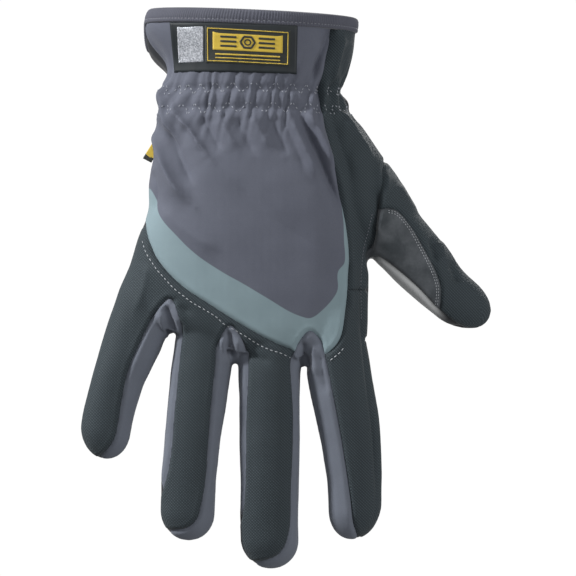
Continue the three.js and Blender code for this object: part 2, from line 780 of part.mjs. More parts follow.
function meshOf(name, solid, finish) {
  const made = largest(solid).getMesh();
  const positions = Float32Array.from(made.vertProperties);
  for (let at = 0; at < positions.length; at += 3) {
    positions[at + 1] += bend(positions[at], positions[at + 2]);
  }
  const geometry = new THREE.BufferGeometry();
  geometry.setAttribute("position", new THREE.BufferAttribute(positions, 3));
  geometry.setIndex(Array.from(made.triVerts));
  geometry.computeVertexNormals();
  const mesh = new THREE.Mesh(geometry, new THREE.MeshStandardMaterial(finish));
  mesh.name = name;
  return mesh;
}

// The finishes of the pieces
const greyStretch = { color: 0x63636f, roughness: 0.85, metalness: 0 };
const blackMesh = { color: 0x33383c, roughness: 0.9, metalness: 0 };
const greyBinding = { color: 0x5f606c, roughness: 0.9, metalness: 0 };
const blackLeather = { color: 0x2a2c2f, roughness: 0.7, metalness: 0 };
const charcoalSuede = { color: 0x4a4c50, roughness: 0.95, metalness: 0 };
const blackLabel = { color: 0x22282b, roughness: 0.7, metalness: 0 };
const silverGlitter = { color: 0xc3c7cc, roughness: 0.35, metalness: 0.3 };
const yellowWeave = { color: 0xd9c24a, roughness: 0.8, metalness: 0 };
const finishes = {
  cuff_binding: greyBinding,
  back_panel: greyStretch,
  side_panel: blackMesh,
  finger_back_panel: blackMesh,
  index_back: blackMesh,
  thumb_back: blackMesh,
  fourchette_pinky_ring: greyStretch,
  fourchette_ring_middle: greyStretch,
  fourchette_middle_index: greyStretch,
  thumb_patch: charcoalSuede,
  palm_panel: blackLeather,
  thumb_palm: blackLeather,
  pinky_palm: blackLeather,
  ring_palm: blackLeather,
  middle_palm: blackLeather,
  index_palm: blackLeather,
  wrist_label: blackLabel,
  label_reflector: silverGlitter,
  label_badge: yellowWeave,
  side_tag: yellowWeave,
};

const group = new THREE.Group();
for (const [name, finish] of Object.entries(finishes)) {
  group.add(meshOf(name, panels[name], finish));
}

export default group;
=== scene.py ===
"""A right-hand mechanic glove in its worn form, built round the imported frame."""
import math

import bpy
import numpy as np
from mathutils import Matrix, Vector
from mathutils.bvhtree import BVHTree


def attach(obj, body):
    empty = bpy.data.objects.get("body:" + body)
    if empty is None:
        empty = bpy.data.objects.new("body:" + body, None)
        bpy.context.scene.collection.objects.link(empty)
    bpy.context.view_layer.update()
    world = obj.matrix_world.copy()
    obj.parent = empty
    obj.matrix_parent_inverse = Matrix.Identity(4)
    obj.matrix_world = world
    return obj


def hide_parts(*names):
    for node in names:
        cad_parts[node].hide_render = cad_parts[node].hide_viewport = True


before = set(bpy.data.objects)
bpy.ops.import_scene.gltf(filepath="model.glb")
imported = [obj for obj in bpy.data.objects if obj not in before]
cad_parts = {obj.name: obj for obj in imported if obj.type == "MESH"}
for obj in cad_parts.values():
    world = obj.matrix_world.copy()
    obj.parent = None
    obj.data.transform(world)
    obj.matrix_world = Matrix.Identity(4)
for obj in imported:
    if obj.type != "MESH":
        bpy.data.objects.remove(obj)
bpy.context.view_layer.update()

# The form is worked out in millimetres before the glove bends. add_mesh bends it, and link_mesh
# turns millimetres to metres.
MM = 0.001
BODY_LENGTH = 154.0
PALM_WIDTH = 99.0
PALM_DEPTH = 47.0
BINDING_DEPTH = 6.4
UNDER_BINDING = 0.8  # how far the cloth reaches in under the binding
FABRIC_WALL = 1.3
VOXEL = 0.85
SEAM_INSET = 0.03
IN_FRONT = -150.0  # a place well in front of the glove's back, from which rays start

# How far the cuff slopes and dips, the fingers curl, the thumb leans and the hand cups
CUFF_SLOPE = 4.4
CUFF_DIP = 13.0
FINGER_CURL = 13.0
THUMB_LEAN = 17.0
HAND_CUP = 3.5

# Where the curl and the lean start and how far on they are full, in body lengths and palm widths
CURL_START, CURL_REACH = 0.75, 0.87
LEAN_START, LEAN_REACH = 0.42, 0.68

# The photograph: millimetres a pixel, the pixel of the frame's origin, and its width
PHOTO_SCALE = 0.45
PHOTO_ORIGIN = (251.0, 16.0)
PHOTO_SIZE = 576

# down, left, right, deep, square: shares of the body length, palm width and palm depth
BODY = np.array([
    (-0.10, -0.440, 0.470, 1.17, 2.20),
    (0.000, -0.452, 0.477, 1.17, 2.20),
    (0.035, -0.482, 0.474, 1.17, 2.20),
    (0.070, -0.468, 0.468, 1.13, 2.20),
    (0.100, -0.432, 0.464, 1.09, 2.20),
    (0.130, -0.385, 0.455, 1.06, 2.25),
    (0.165, -0.368, 0.436, 1.02, 2.30),
    (0.210, -0.382, 0.409, 0.97, 2.30),
    (0.245, -0.400, 0.425, 0.96, 2.30),
    (0.280, -0.409, 0.450, 0.97, 2.35),
    (0.330, -0.409, 0.500, 0.99, 2.40),
    (0.390, -0.418, 0.525, 1.01, 2.45),
    (0.480, -0.464, 0.536, 1.00, 2.50),
    (0.570, -0.464, 0.541, 0.97, 2.50),
    (0.655, -0.516, 0.541, 0.91, 2.50),
    (0.740, -0.549, 0.536, 0.84, 2.50),
    (0.830, -0.580, 0.532, 0.77, 2.50),
    (0.920, -0.612, 0.530, 0.68, 2.50),
    (0.970, -0.622, 0.528, 0.58, 2.40),
    (1.000, -0.618, 0.522, 0.40, 2.20),
])

# across, down: how far down the hand ends at each place across it
CROTCH_LINE = np.array([(-0.66, 0.86), (-0.37, 0.915), (-0.08, 0.985), (0.24, 1.0), (0.55, 0.97)])

# root across and down, splay in degrees, length and width in millimetres, and rows of
# along, aside, wide, deep
FINGERS = {
    "pinky": dict(root=(-0.414, 0.728), splay=-16.4, length=91.0, width=26.4, rows=np.array([
        (0.0, 0.0, 0.95, 0.95), (0.18, -0.041, 0.99, 0.95), (0.387, -0.064, 1.0, 0.9),
        (0.593, -0.135, 0.87, 0.82), (0.8, -0.13, 0.853, 0.76), (1.0, -0.04, 0.85, 0.72)])),
    "ring": dict(root=(-0.179, 0.786), splay=-5.3, length=115.9, width=26.6, rows=np.array([
        (0.0, 0.0, 1.0, 1.02), (0.33, -0.041, 1.0, 0.96), (0.448, -0.053, 0.976, 0.92),
        (0.604, -0.083, 0.929, 0.86), (0.76, -0.088, 0.925, 0.82), (1.0, -0.02, 0.92, 0.76)])),
    "middle": dict(root=(0.086, 0.801), splay=0.4, length=125.8, width=27.5, rows=np.array([
        (0.0, 0.0, 1.0, 1.02), (0.322, -0.018, 1.0, 0.98), (0.394, -0.018, 0.967, 0.95),
        (0.537, -0.018, 0.984, 0.9), (0.68, -0.023, 0.951, 0.85), (0.823, -0.043, 0.951, 0.82),
        (1.0, -0.01, 0.95, 0.78)])),
    "index": dict(root=(0.336, 0.801), splay=6.4, length=113.4, width=29.1, rows=np.array([
        (0.0, 0.0, 1.0, 0.98), (0.24, 0.054, 1.0, 0.95), (0.359, 0.083, 1.0, 0.91),
        (0.52, 0.13, 0.969, 0.86), (0.599, 0.142, 0.923, 0.83), (0.758, 0.143, 0.85, 0.78),
        (0.878, 0.091, 0.83, 0.76), (1.0, 0.02, 0.83, 0.72)])),
    "thumb": dict(root=(0.305, 0.298), splay=40.1, length=119.9, width=34.2, rows=np.array([
        (0.0, 0.0, 0.58, 0.8), (0.123, -0.141, 1.0, 0.98), (0.26, -0.183, 1.0, 0.98),
        (0.403, -0.192, 0.947, 0.93), (0.528, -0.222, 0.842, 0.84), (0.69, -0.193, 0.79, 0.72),
        (0.802, -0.174, 0.7, 0.65), (1.0, -0.04, 0.67, 0.58)])),
}
FINGER_SQUARE = 2.15
# The cloth that fills each fork of the fingers: across and down in the photograph, and half its
# width, and then half the depth and half the height of all three
WEBS = [(168.5, 318.0, 5.0), (233.5, 347.0, 4.6), (304.5, 350.0, 4.4)]
WEB_DEPTH = 9.0
WEB_HEIGHT = 7.5


def table(rows, at, column):
    """One column of a table, eased over the corners between its rows."""
    at = np.asarray(at, float)
    reach = 0.018
    steps = np.array([-1.5, -0.75, 0.0, 0.75, 1.5])
    weights = np.array([0.12, 0.23, 0.30, 0.23, 0.12])
    out = np.zeros_like(at)
    for step, weight in zip(steps, weights):
        out = out + weight * np.interp(at + step * reach, rows[:, 0], rows[:, column])
    return out


def smooth(part):
    """0 up to 0, 1 from 1 on, and an eased rise between them."""
    t = np.clip(part, 0.0, 1.0)
    return t * t * (3 - 2 * t)


def ring_point(half_width, half_depth, square, angle):
    """A place on a rounded ring, which is squarer as square grows."""
    across, over = np.cos(angle), np.sin(angle)
    x = half_width * np.sign(across) * np.abs(across) ** (2 / square)
    y = -half_depth * np.sign(over) * np.abs(over) ** (2 / square)
    return x, y


def cuff_fall(x, y):
    """How far the cuff edge lies below its place at the origin."""
    part = x / PALM_WIDTH
    dip = smooth((y / PALM_DEPTH + 0.12) / 0.3) * smooth((0.05 - part) / 0.5)
    return CUFF_SLOPE * (part + 0.4) - CUFF_SLOPE / 2 + CUFF_DIP * dip


def body_point(angle, down, inset=0.0):
    """Points on the skin of the hand, before the bend."""
    left = table(BODY, down, 1) * PALM_WIDTH
    right = table(BODY, down, 2) * PALM_WIDTH
    half_depth = table(BODY, down, 3) * PALM_DEPTH / 2
    square = table(BODY, down, 4)
    sx, sy = ring_point((right - left) / 2, half_depth, square, angle)
    rx, ry = ring_point((right - left) / 2 - inset, half_depth - inset, square, angle)
    middle = (left + right) / 2
    end = np.interp((middle + sx) / PALM_WIDTH, CROTCH_LINE[:, 0], CROTCH_LINE[:, 1])
    lowered = np.clip((down - 0.6) / 0.4, 0, None) ** 2
    z = -BODY_LENGTH * (down - (1 - end) * lowered)
    z = z - cuff_fall(middle + sx, sy) * (1 - smooth(down / 0.3))
    return np.stack([middle + rx, ry, z], -1)


def finger_frame(finger):
    """A finger's root, and the directions along and across it."""
    turn = math.radians(finger["splay"])
    root = np.array([finger["root"][0] * PALM_WIDTH, 0.0, -finger["root"][1] * BODY_LENGTH])
    along = np.array([math.sin(turn), 0.0, -math.cos(turn)])
    aside = np.array([math.cos(turn), 0.0, math.sin(turn)])
    return root, along, aside


def finger_point(finger, angle, at):
    """Points on the skin of a finger, before the bend."""
    root, along, aside = finger_frame(finger)
    width, length = finger["width"], finger["length"]
    end = 0.5 * width / length
    past = np.clip((at - (1 - end)) / end, 0, 1)
    shrink = np.sqrt(np.clip(1 - past ** 2, 0, 1))
    middle = table(finger["rows"], at, 1) * width
    half_width = table(finger["rows"], at, 2) * width / 2
    half_depth = table(finger["rows"], at, 3) * width / 2
    x, y = ring_point(half_width * shrink, half_depth * shrink, FINGER_SQUARE, angle)
    point = root + at[..., None] * length * along + (middle + x)[..., None] * aside
    point[..., 1] += y
    return point


def finger_place(finger, rows):
    """Points given by along, and side from -1 to 1, on a finger in the front view."""
    rows = np.array(rows, float)
    root, along, aside = finger_frame(finger)
    middle = np.interp(rows[:, 0], finger["rows"][:, 0], finger["rows"][:, 1]) * finger["width"]
    half = np.interp(rows[:, 0], finger["rows"][:, 0], finger["rows"][:, 2]) * finger["width"] / 2
    out = root + rows[:, :1] * finger["length"] * along + (middle + rows[:, 1] * half)[:, None] * aside
    return out[:, [0, 2]]


def hand_place(rows):
    return np.array(rows, float) * [PALM_WIDTH, -BODY_LENGTH]


def photo_place(rows):
    """Points of the photograph in the front view, in millimetres."""
    return (np.array(rows, float) - PHOTO_ORIGIN) * [PHOTO_SCALE, -PHOTO_SCALE]


def bend(x, z):
    """How far the worn glove leans to the palm side at a place of the front view."""
    down = np.clip((-z / BODY_LENGTH - CURL_START) / CURL_REACH, 0, None)
    out = np.clip((x / PALM_WIDTH - LEAN_START) / LEAN_REACH, 0, None)
    above_tips = smooth((1.25 + z / BODY_LENGTH) / 0.2)
    across = np.clip(np.abs(x) / (0.55 * PALM_WIDTH), 0, 1)
    cup = HAND_CUP * across ** 2 * smooth(-z / BODY_LENGTH / 0.3)
    return FINGER_CURL * down ** 2 + THUMB_LEAN * out ** 1.6 * above_tips + cup


def bent(points):
    """Points moved to where they are on the worn glove."""
    out = np.array(points, float)
    out[:, 1] += bend(out[:, 0], out[:, 2])
    return out


def curve(points, count):
    """A smooth line through points."""
    points = np.asarray(points, float)
    steps = np.linalg.norm(np.diff(points, axis=0), axis=1) ** 0.5
    knots = np.concatenate([[0], np.cumsum(steps)])
    first = 2 * points[0] - points[1]
    last = 2 * points[-1] - points[-2]
    p = np.vstack([first, points, last])
    t = np.concatenate([[knots[0] - steps[0]], knots, [knots[-1] + steps[-1]]])
    at = np.linspace(knots[0], knots[-1], count)
    k = np.clip(np.searchsorted(knots, at, side="right") - 1, 0, len(points) - 2) + 1
    t0, t1, t2, t3 = t[k - 1], t[k], t[k + 1], t[k + 2]

    def mix(a, b, ta, tb):
        w = ((at - ta) / (tb - ta))[:, None]
        return a * (1 - w) + b * w

    a1, a2, a3 = mix(p[k - 1], p[k], t0, t1), mix(p[k], p[k + 1], t1, t2), mix(p[k + 1], p[k + 2], t2, t3)
    b1, b2 = mix(a1, a2, t0, t2), mix(a2, a3, t1, t3)
    return mix(b1, b2, t1, t2)


def even(line, step):
    """Points at even steps along a line, and the direction there."""
    seg = np.linalg.norm(np.diff(line, axis=0), axis=1)
    total = np.concatenate([[0], np.cumsum(seg)])
    at = np.arange(step / 2, total[-1], step)
    near = 0.3

    def along(places):
        return np.stack([np.interp(places, total, line[:, c]) for c in range(line.shape[1])], -1)

    way = along(at + near) - along(at - near)
    return along(at), way / (np.linalg.norm(way, axis=1, keepdims=True) + 1e-9)


def unit(vector):
    return vector / np.linalg.norm(vector)


def turns(count):
    """Angles at even steps all the way round."""
    return np.linspace(0, 2 * math.pi, count, endpoint=False)


# Seams in the front view. Those of a finger or the thumb have the place along it and the side,
# from -1 to 1, and the rest are across and down, as shares of the palm width and body length.
PINKY_INNER = [(0.193, 0.524), (0.268, 0.394), (0.412, 0.26), (0.537, 0.267), (0.672, 0.395),
               (0.887, 0.47), (0.97, 0.127), (1.06, -0.4)]
RING_OUTER = [(0.169, -0.818), (0.26, -0.797), (0.486, -0.783), (0.692, -0.761), (0.799, -0.963),
              (0.89, -1.3)]
RING_INNER = [(0.227, 0.467), (0.311, 0.497), (0.44, 0.515), (0.623, 0.629), (0.756, 0.671), (0.846, 0.536),
              (0.91, 0.372), (0.95, 0.0), (0.965, -0.5), (0.972, -1.1)]
MIDDLE_OUTER = [(0.188, -0.839), (0.271, -0.727), (0.33, -0.728), (0.449, -0.817), (0.608, -0.848),
                (0.804, -0.968), (0.876, -1.3)]
MIDDLE_INNER = [(0.222, 0.793), (0.256, 0.712), (0.306, 0.728), (0.412, 0.827), (0.559, 0.81), (0.723, 0.765),
                (0.854, 0.728), (0.94, 0.35), (0.972, -0.3), (0.98, -1.1)]
INDEX_OUTER = [(0.19, -0.42), (0.231, -0.37), (0.355, -0.33), (0.604, -0.332), (0.825, -0.212),
               (0.935, -0.06), (0.981, 0.102), (1.06, 0.3)]
PATCH_UPPER = [(0.36, -0.95), (0.375, -0.45), (0.405, -0.05), (0.428, 0.261), (0.458, 0.464),
               (0.534, 0.574), (0.607, 0.452), (0.683, 0.291), (0.744, 0.118), (0.787, -0.117),
               (0.819, -0.454), (0.85, -0.86)]
THUMB_RIM = [(0.535, -1.06), (0.544, -0.908), (0.637, -0.735), (0.74, -0.686), (0.844, -0.8),
             (0.93, -0.8), (1.01, -0.6), (1.1, -0.4)]
SIDE_SEAM = [(0.386, -0.12), (0.373, 0.064), (0.341, 0.136), (0.313, 0.227), (0.325, 0.298), (0.385, 0.454),
             (0.42, 0.567), (0.445, 0.684), (0.44, 0.769), (0.427, 0.872), (0.4, 0.945), (0.335, 0.987),
             (0.28, 0.996)]
KNUCKLE_SEAM = [(0.25, 0.991), (0.195, 0.977), (0.075, 0.944), (-0.034, 0.904), (-0.184, 0.843),
                (-0.316, 0.785), (-0.418, 0.714), (-0.46, 0.66), (-0.52, 0.57), (-0.7, 0.52)]
THUMB_SEAM = [(0.72, 0.27), (0.605, 0.432), (0.59, 0.503), (0.57, 0.593), (0.555, 0.634), (0.535, 0.71),
              (0.56, 0.78)]
BELOW_THUMB = [(1.575, 0.87), (1.12, -4.7), (0.663, -1.37), (0.575, -1.25)]
BESIDE_THUMB = [(0.57, 0.82), (2.0, 1.2), (2.0, 0.2)]
WEB_TOPS = [(-0.363, 0.826), (-0.092, 0.904), (0.267, 0.919)]
INDEX_SEAM_DOWN = 0.8


def fourchette_line(outer, outer_seam, top, inner, inner_seam):
    """Up one finger's seam, over the fork and down the next finger's."""
    up = finger_place(FINGERS[outer], outer_seam)[::-1]
    down = finger_place(FINGERS[inner], inner_seam)
    line = curve(np.vstack([up, hand_place([top]), down]), 90)
    below = -2 * BODY_LENGTH
    return np.vstack([line, [line[-1][0], below], [line[0][0], below]])


FOURCHETTE = [
    fourchette_line("pinky", PINKY_INNER, WEB_TOPS[0], "ring", RING_OUTER),
    fourchette_line("ring", RING_INNER, WEB_TOPS[1], "middle", MIDDLE_OUTER),
    fourchette_line("middle", MIDDLE_INNER, WEB_TOPS[2], "index", INDEX_OUTER),
]
RIM_LINE = curve(finger_place(FINGERS["thumb"], THUMB_RIM), 40)
RIM_REGION = np.vstack([RIM_LINE, finger_place(FINGERS["thumb"], BELOW_THUMB)])
PATCH_LINE = curve(finger_place(FINGERS["thumb"], PATCH_UPPER), 60)
PATCH_REGION = np.vstack([PATCH_LINE, finger_place(FINGERS["thumb"], BELOW_THUMB)])
THUMB_LINE = curve(hand_place(THUMB_SEAM), 40)
THUMB_REGION = np.vstack([THUMB_LINE, hand_place(BESIDE_THUMB)])
SIDE_LINE = curve(hand_place(SIDE_SEAM), 60)
KNUCKLE_LINE = curve(hand_place(KNUCKLE_SEAM), 60)
BACK_REGION = np.vstack([SIDE_LINE, KNUCKLE_LINE, hand_place([(-1.0, -0.3), (0.386, -0.3)])])
FINGERS_REGION = hand_place([(-2, 0.4), (WEB_TOPS[2][0], 0.4), (WEB_TOPS[2][0], 2), (-2, 2)])
INDEX_REGION = hand_place([(-2, INDEX_SEAM_DOWN), (2, INDEX_SEAM_DOWN), (2, 2), (-2, 2)])

# across, down, and the place across two body lengths down that the cut between two fingers runs to
PALM_DIVIDES = [(-0.8, 0.79, -2), (-0.37, 0.9, -0.75), (-0.08, 0.985, -0.14), (0.245, 0.99, 0.34),
                (0.8, 0.9, 2)]
PALM_REGIONS = {}
for finger_name, start, stop in zip(FINGERS, PALM_DIVIDES[:-1], PALM_DIVIDES[1:]):
    PALM_REGIONS[finger_name + "_root"] = hand_place([start[:2], stop[:2], (stop[2], 2), (start[2], 2)])

# The pale band of the back, between its upper edge and the knuckle seam
BAND_TOP = [(-0.6, 0.40), (-0.482, 0.488), (-0.45, 0.517), (-0.414, 0.574), (-0.38, 0.608), (-0.332, 0.642),
            (-0.278, 0.678), (-0.218, 0.71), (-0.128, 0.748), (-0.034, 0.782), (0.086, 0.828), (0.176, 0.863),
            (0.233, 0.878), (0.263, 0.882), (0.289, 0.876), (0.327, 0.856), (0.365, 0.83), (0.387, 0.808),
            (0.393, 0.791), (0.39, 0.761), (0.395, 0.745), (0.42, 0.724), (0.424, 0.7), (0.419, 0.66),
            (0.418, 0.58), (0.414, 0.52)]
BAND_REST = hand_place([(0.9, 0.5), (0.9, 1.4), (-0.9, 1.4), (-0.9, 0.4)])
BAND_REGION = np.vstack([curve(hand_place(BAND_TOP), 130), BAND_REST])


def inside(region, x, z):
    """Signed distance to an outline in the front view, above zero inside it."""
    best = np.full(x.shape, 1e9)
    odd = np.zeros(x.shape, bool)
    ends = np.roll(region, -1, axis=0)
    for (ax, az), (bx, bz) in zip(region, ends):
        ex, ez = bx - ax, bz - az
        size = ex * ex + ez * ez
        if size < 1e-12:
            continue
        t = np.clip(((x - ax) * ex + (z - az) * ez) / size, 0, 1)
        best = np.minimum(best, (x - ax - t * ex) ** 2 + (z - az - t * ez) ** 2)
        if bz != az:
            cross = (az > z) != (bz > z)
            odd ^= cross & (x < (bx - ax) * (z - az) / (bz - az) + ax)
    return np.where(odd, 1, -1) * np.sqrt(best)


# The surface of the glove before its folds


def grid_mesh(points):
    """Quads of a grid of rings, with both ends closed by a fan."""
    rows, columns = points.shape[:2]
    index = np.arange(rows * columns).reshape(rows, columns)
    right = np.roll(index, -1, axis=1)
    quads = np.stack([index[:-1], right[:-1], right[1:], index[1:]], -1).reshape(-1, 4)
    return points.reshape(-1, 3), [list(q) for q in quads] + [list(index[0][::-1]), list(index[-1])]


def read(items, name, width=1, kind=float):
    """One value of each item of a mesh, as an array."""
    values = np.empty(len(items) * width, kind)
    items.foreach_get(name, values)
    return values.reshape(-1, width) if width > 1 else values


def master_surface():
    """The hand, fingers and forks grown into one skin: places and normals, and triangles."""
    down = np.concatenate([np.linspace(-0.09, 0.96, 120), np.linspace(0.965, 1.0, 8)])
    grids = [body_point(*np.meshgrid(turns(160), down))]
    for finger in FINGERS.values():
        end = 0.5 * finger["width"] / finger["length"]
        tip = 1 - end + end * np.sin(np.linspace(0.08, 1.56, 16))
        at = np.concatenate([np.linspace(0, 1 - end, 50), tip])
        grids.append(finger_point(finger, *np.meshgrid(turns(72), at)))
    turn, tilt = np.meshgrid(turns(48), np.linspace(0.03, math.pi - 0.03, 24))
    for across, fall, wide in WEBS:
        x, z = photo_place([(across, fall)])[0]
        ball = [wide * np.sin(tilt) * np.cos(turn), -WEB_DEPTH * np.sin(tilt) * np.sin(turn),
                WEB_HEIGHT * np.cos(tilt)]
        grids.append(np.stack(ball, -1) + [x, 0.5, z])
    verts, faces = [], []
    for grid in grids:
        points, polygons = grid_mesh(grid)
        faces += [[corner + len(verts) for corner in polygon] for polygon in polygons]
        verts += points.tolist()
    mesh = bpy.data.meshes.new("master")
    mesh.from_pydata(verts, [], faces)
    obj = bpy.data.objects.new("master", mesh)
    bpy.context.scene.collection.objects.link(obj)
    remesh = obj.modifiers.new("remesh", "REMESH")
    remesh.mode = "VOXEL"
    remesh.voxel_size = VOXEL
    soften = obj.modifiers.new("soften", "SMOOTH")
    soften.factor = 0.5
    soften.iterations = 9
    obj.modifiers.new("triangles", "TRIANGULATE").quad_method = "SHORTEST_DIAGONAL"
    shaped = obj.evaluated_get(bpy.context.evaluated_depsgraph_get()).to_mesh()
    skin = np.hstack([read(shaped.vertices, "co", 3), read(shaped.vertices, "normal", 3)])
    corners = read(shaped.polygons, "vertices", 3, int)
    bpy.data.objects.remove(obj)
    bpy.data.meshes.remove(mesh)
    return skin, corners


def compact(points, faces):
    """Drops the points that no face uses."""
    used = np.unique(faces)
    renumber = np.full(len(points), -1)
    renumber[used] = np.arange(len(used))
    return points[used], renumber[faces]


def clip(points, faces, field):
    """Keeps the part of a surface where the field is above zero, cut exactly at zero."""
    above = field > 0
    count = above[faces].sum(1)
    kept = [faces[count == 3]]
    cut = faces[(count == 1) | (count == 2)]
    lone = above[cut].sum(1) == 1
    turn = np.where(lone[:, None], above[cut], ~above[cut]).argmax(1)
    rows = np.arange(len(cut))
    a, b, c = cut[rows, turn], cut[rows, (turn + 1) % 3], cut[rows, (turn + 2) % 3]
    pairs = np.sort(np.vstack([np.stack([a, b], -1), np.stack([a, c], -1)]), axis=1)
    unique, where = np.unique(pairs, axis=0, return_inverse=True)
    where = where.reshape(-1)
    f0, f1 = field[unique[:, 0]], field[unique[:, 1]]
    part = (f0 / (f0 - f1))[:, None]
    made = points[unique[:, 0]] * (1 - part) + points[unique[:, 1]] * part
    ab = where[:len(cut)] + len(points)
    ac = where[len(cut):] + len(points)
    one, two = lone, ~lone
    kept.append(np.stack([a[one], ab[one], ac[one]], -1))
    kept.append(np.stack([ab[two], b[two], c[two]], -1))
    kept.append(np.stack([ab[two], c[two], ac[two]], -1))
    return compact(np.vstack([points, made]), np.vstack(kept))


def view_fields(points):
    """The signed distances that every panel is cut by."""
    x, y, z = points[:, 0], points[:, 1], points[:, 2]
    roots = {name: inside(region, x, z) for name, region in PALM_REGIONS.items()}
    return dict(
        roots,
        palm=np.maximum(y, inside(RIM_REGION, x, z)),
        thumb=inside(THUMB_REGION, x, z),
        patch=inside(PATCH_REGION, x, z),
        back=inside(BACK_REGION, x, z),
        fingers=inside(FINGERS_REGION, x, z),
        index=inside(INDEX_REGION, x, z),
        first=inside(FOURCHETTE[0], x, z),
        second=inside(FOURCHETTE[1], x, z),
        third=inside(FOURCHETTE[2], x, z),
        cuff=-cuff_fall(x, y) - BINDING_DEPTH + UNDER_BINDING - z,
    )


OFF_WEBS = ["-palm", "-first", "-second", "-third"]
PANELS = {
    "palm_panel": ["palm", "-thumb", "-pinky_root", "-ring_root", "-middle_root", "-index_root"],
    "thumb_palm": ["palm", "thumb"],
    "pinky_palm": ["palm", "-thumb", "pinky_root"],
    "ring_palm": ["palm", "-thumb", "ring_root"],
    "middle_palm": ["palm", "-thumb", "middle_root"],
    "index_palm": ["palm", "-thumb", "index_root"],
    "fourchette_pinky_ring": ["-palm", "first"],
    "fourchette_ring_middle": ["-palm", "second"],
    "fourchette_middle_index": ["-palm", "third"],
    "thumb_patch": OFF_WEBS + ["thumb", "patch"],
    "thumb_back": OFF_WEBS + ["thumb", "-patch"],
    "back_panel": OFF_WEBS + ["-thumb", "back"],
    "finger_back_panel": OFF_WEBS + ["-thumb", "-back", "fingers"],
    "index_back": OFF_WEBS + ["-thumb", "-back", "-fingers", "index"],
    "side_panel": OFF_WEBS + ["-thumb", "-back", "-fingers", "-index"],
}


# Where the two zigzag rows of the wrist lie, as shares of the body length
ROW_DOWN = (0.222, 0.278)

# The seam that follows the right edge of the hand and of the index finger, in the photograph
EDGE_SEAM = [(377, 196), (374, 214), (370, 232), (365.5, 250), (363.5, 270), (363, 290), (363.5, 320),
             (366, 350), (370.5, 390), (375, 430), (377.5, 465), (377.5, 495), (374, 520)]

# Folds: a line in the photograph, how high it stands and how wide each of its sides is, in millimetres
FOLDS = [
    ([(170, 76), (169, 100), (171, 120), (176, 134), (184, 150)], 2.1, 1.3, 2.6),
    ([(175, 102), (181, 117), (191, 130), (200, 145), (213, 162)], 2.0, 1.3, 3.0),
    ([(161, 122), (163, 142), (167, 162), (173, 178), (182, 192), (196, 208)], 2.3, 1.6, 3.6),
    ([(173, 124), (177, 150), (186, 172), (196, 190)], -1.2, 2.4, 2.6),
    ([(186, 126), (197, 144), (207, 160)], -0.8, 2.0, 2.4),
    ([(297, 112), (308, 134), (318, 154), (328, 176), (337, 197), (342, 216)], -2.2, 1.6, 2.6),
    ([(304, 112), (317, 132), (328, 152), (338, 174)], 1.3, 1.6, 2.0),
    ([(289, 116), (299, 138), (310, 160), (321, 186)], 1.1, 2.4, 2.4),
    ([(281, 116), (290, 136), (300, 158), (309, 180)], -0.7, 2.2, 2.6),
    ([(336, 28), (326, 50), (317, 70), (311, 92)], -1.9, 1.3, 2.4),
    ([(343, 34), (337, 54), (332, 72), (327, 90)], 1.5, 1.6, 1.8),
    ([(324, 44), (317, 60), (311, 76), (305, 92)], 0.8, 1.6, 2.4),
    ([(334, 104), (346, 124), (360, 144), (374, 162)], 1.4, 1.4, 3.4),
    ([(329, 110), (338, 136), (346, 160), (352, 192)], -1.1, 2.2, 3.0),
    ([(345, 94), (353, 110), (362, 124)], -1.0, 1.4, 1.8),
    ([(376, 182), (378, 206), (373, 232), (369, 256)], -1.6, 1.4, 2.6),
    ([(384, 168), (385, 190), (381, 214), (376, 240)], 0.9, 1.8, 3.0),
    ([(432, 236), (435, 250), (436, 264)], -1.3, 1.2, 1.6),
    ([(440, 240), (443, 252), (444, 262)], 0.5, 1.4, 1.8),
    ([(452, 260), (456, 272), (458, 284)], -1.1, 1.2, 1.6),
    ([(407, 170), (414, 186), (424, 200), (438, 212)], -0.8, 2.0, 2.6),
    ([(396, 182), (408, 200), (420, 214)], 0.6, 2.0, 2.6),
    ([(203, 118), (213, 137), (224, 156)], -0.9, 1.8, 2.4),
    ([(220, 118), (229, 136), (240, 154)], 0.7, 1.8, 2.4),
    ([(236, 118), (246, 138), (257, 160)], -0.8, 1.8, 2.4),
    ([(252, 117), (261, 134), (271, 152)], 0.7, 1.8, 2.4),
    ([(268, 118), (278, 138), (289, 160)], -0.9, 1.8, 2.4),
    ([(160, 205), (178, 224), (200, 240), (226, 252)], 0.7, 4.0, 5.0),
    ([(153, 168), (157, 194), (151, 218)], -0.8, 2.4, 3.4),
    ([(232, 176), (258, 206), (290, 232), (322, 250)], -0.5, 5.0, 6.0),
    ([(166, 304), (171, 318), (176, 336)], -1.3, 1.1, 1.4),
    ([(161, 310), (164, 326), (169, 344)], 0.7, 1.1, 1.4),
    ([(177, 300), (179, 312), (183, 326)], 0.6, 1.2, 1.6),
    ([(228, 328), (231, 344), (233, 362)], -1.3, 1.1, 1.4),
    ([(221, 334), (225, 350), (228, 368)], 0.7, 1.1, 1.4),
    ([(239, 336), (238, 350), (240, 364)], 0.6, 1.1, 1.4),
    ([(303, 340), (305, 354), (306, 374)], -1.3, 1.1, 1.4),
    ([(313, 342), (315, 358), (318, 378)], 0.8, 1.2, 1.4),
    ([(295, 344), (297, 358), (300, 374)], 0.6, 1.1, 1.4),
    ([(319, 350), (322, 372), (327, 396)], -0.7, 1.3, 1.6),
    ([(150, 262), (146, 286), (134, 316)], 0.6, 2.4, 3.0),
    ([(172, 296), (180, 306), (196, 314)], -0.5, 1.6, 2.0),
    ([(242, 350), (256, 356), (274, 362)], -0.5, 1.6, 2.0),
    (EDGE_SEAM[3:], -1.1, 0.7, 0.9),
    ([(350, 250), (353, 272), (351, 300), (353, 326)], 0.5, 1.4, 1.8),
]
FOLD_GAIN = 2.3
FOLD_TIP = 0.4  # radius that a fold's crest is rounded to
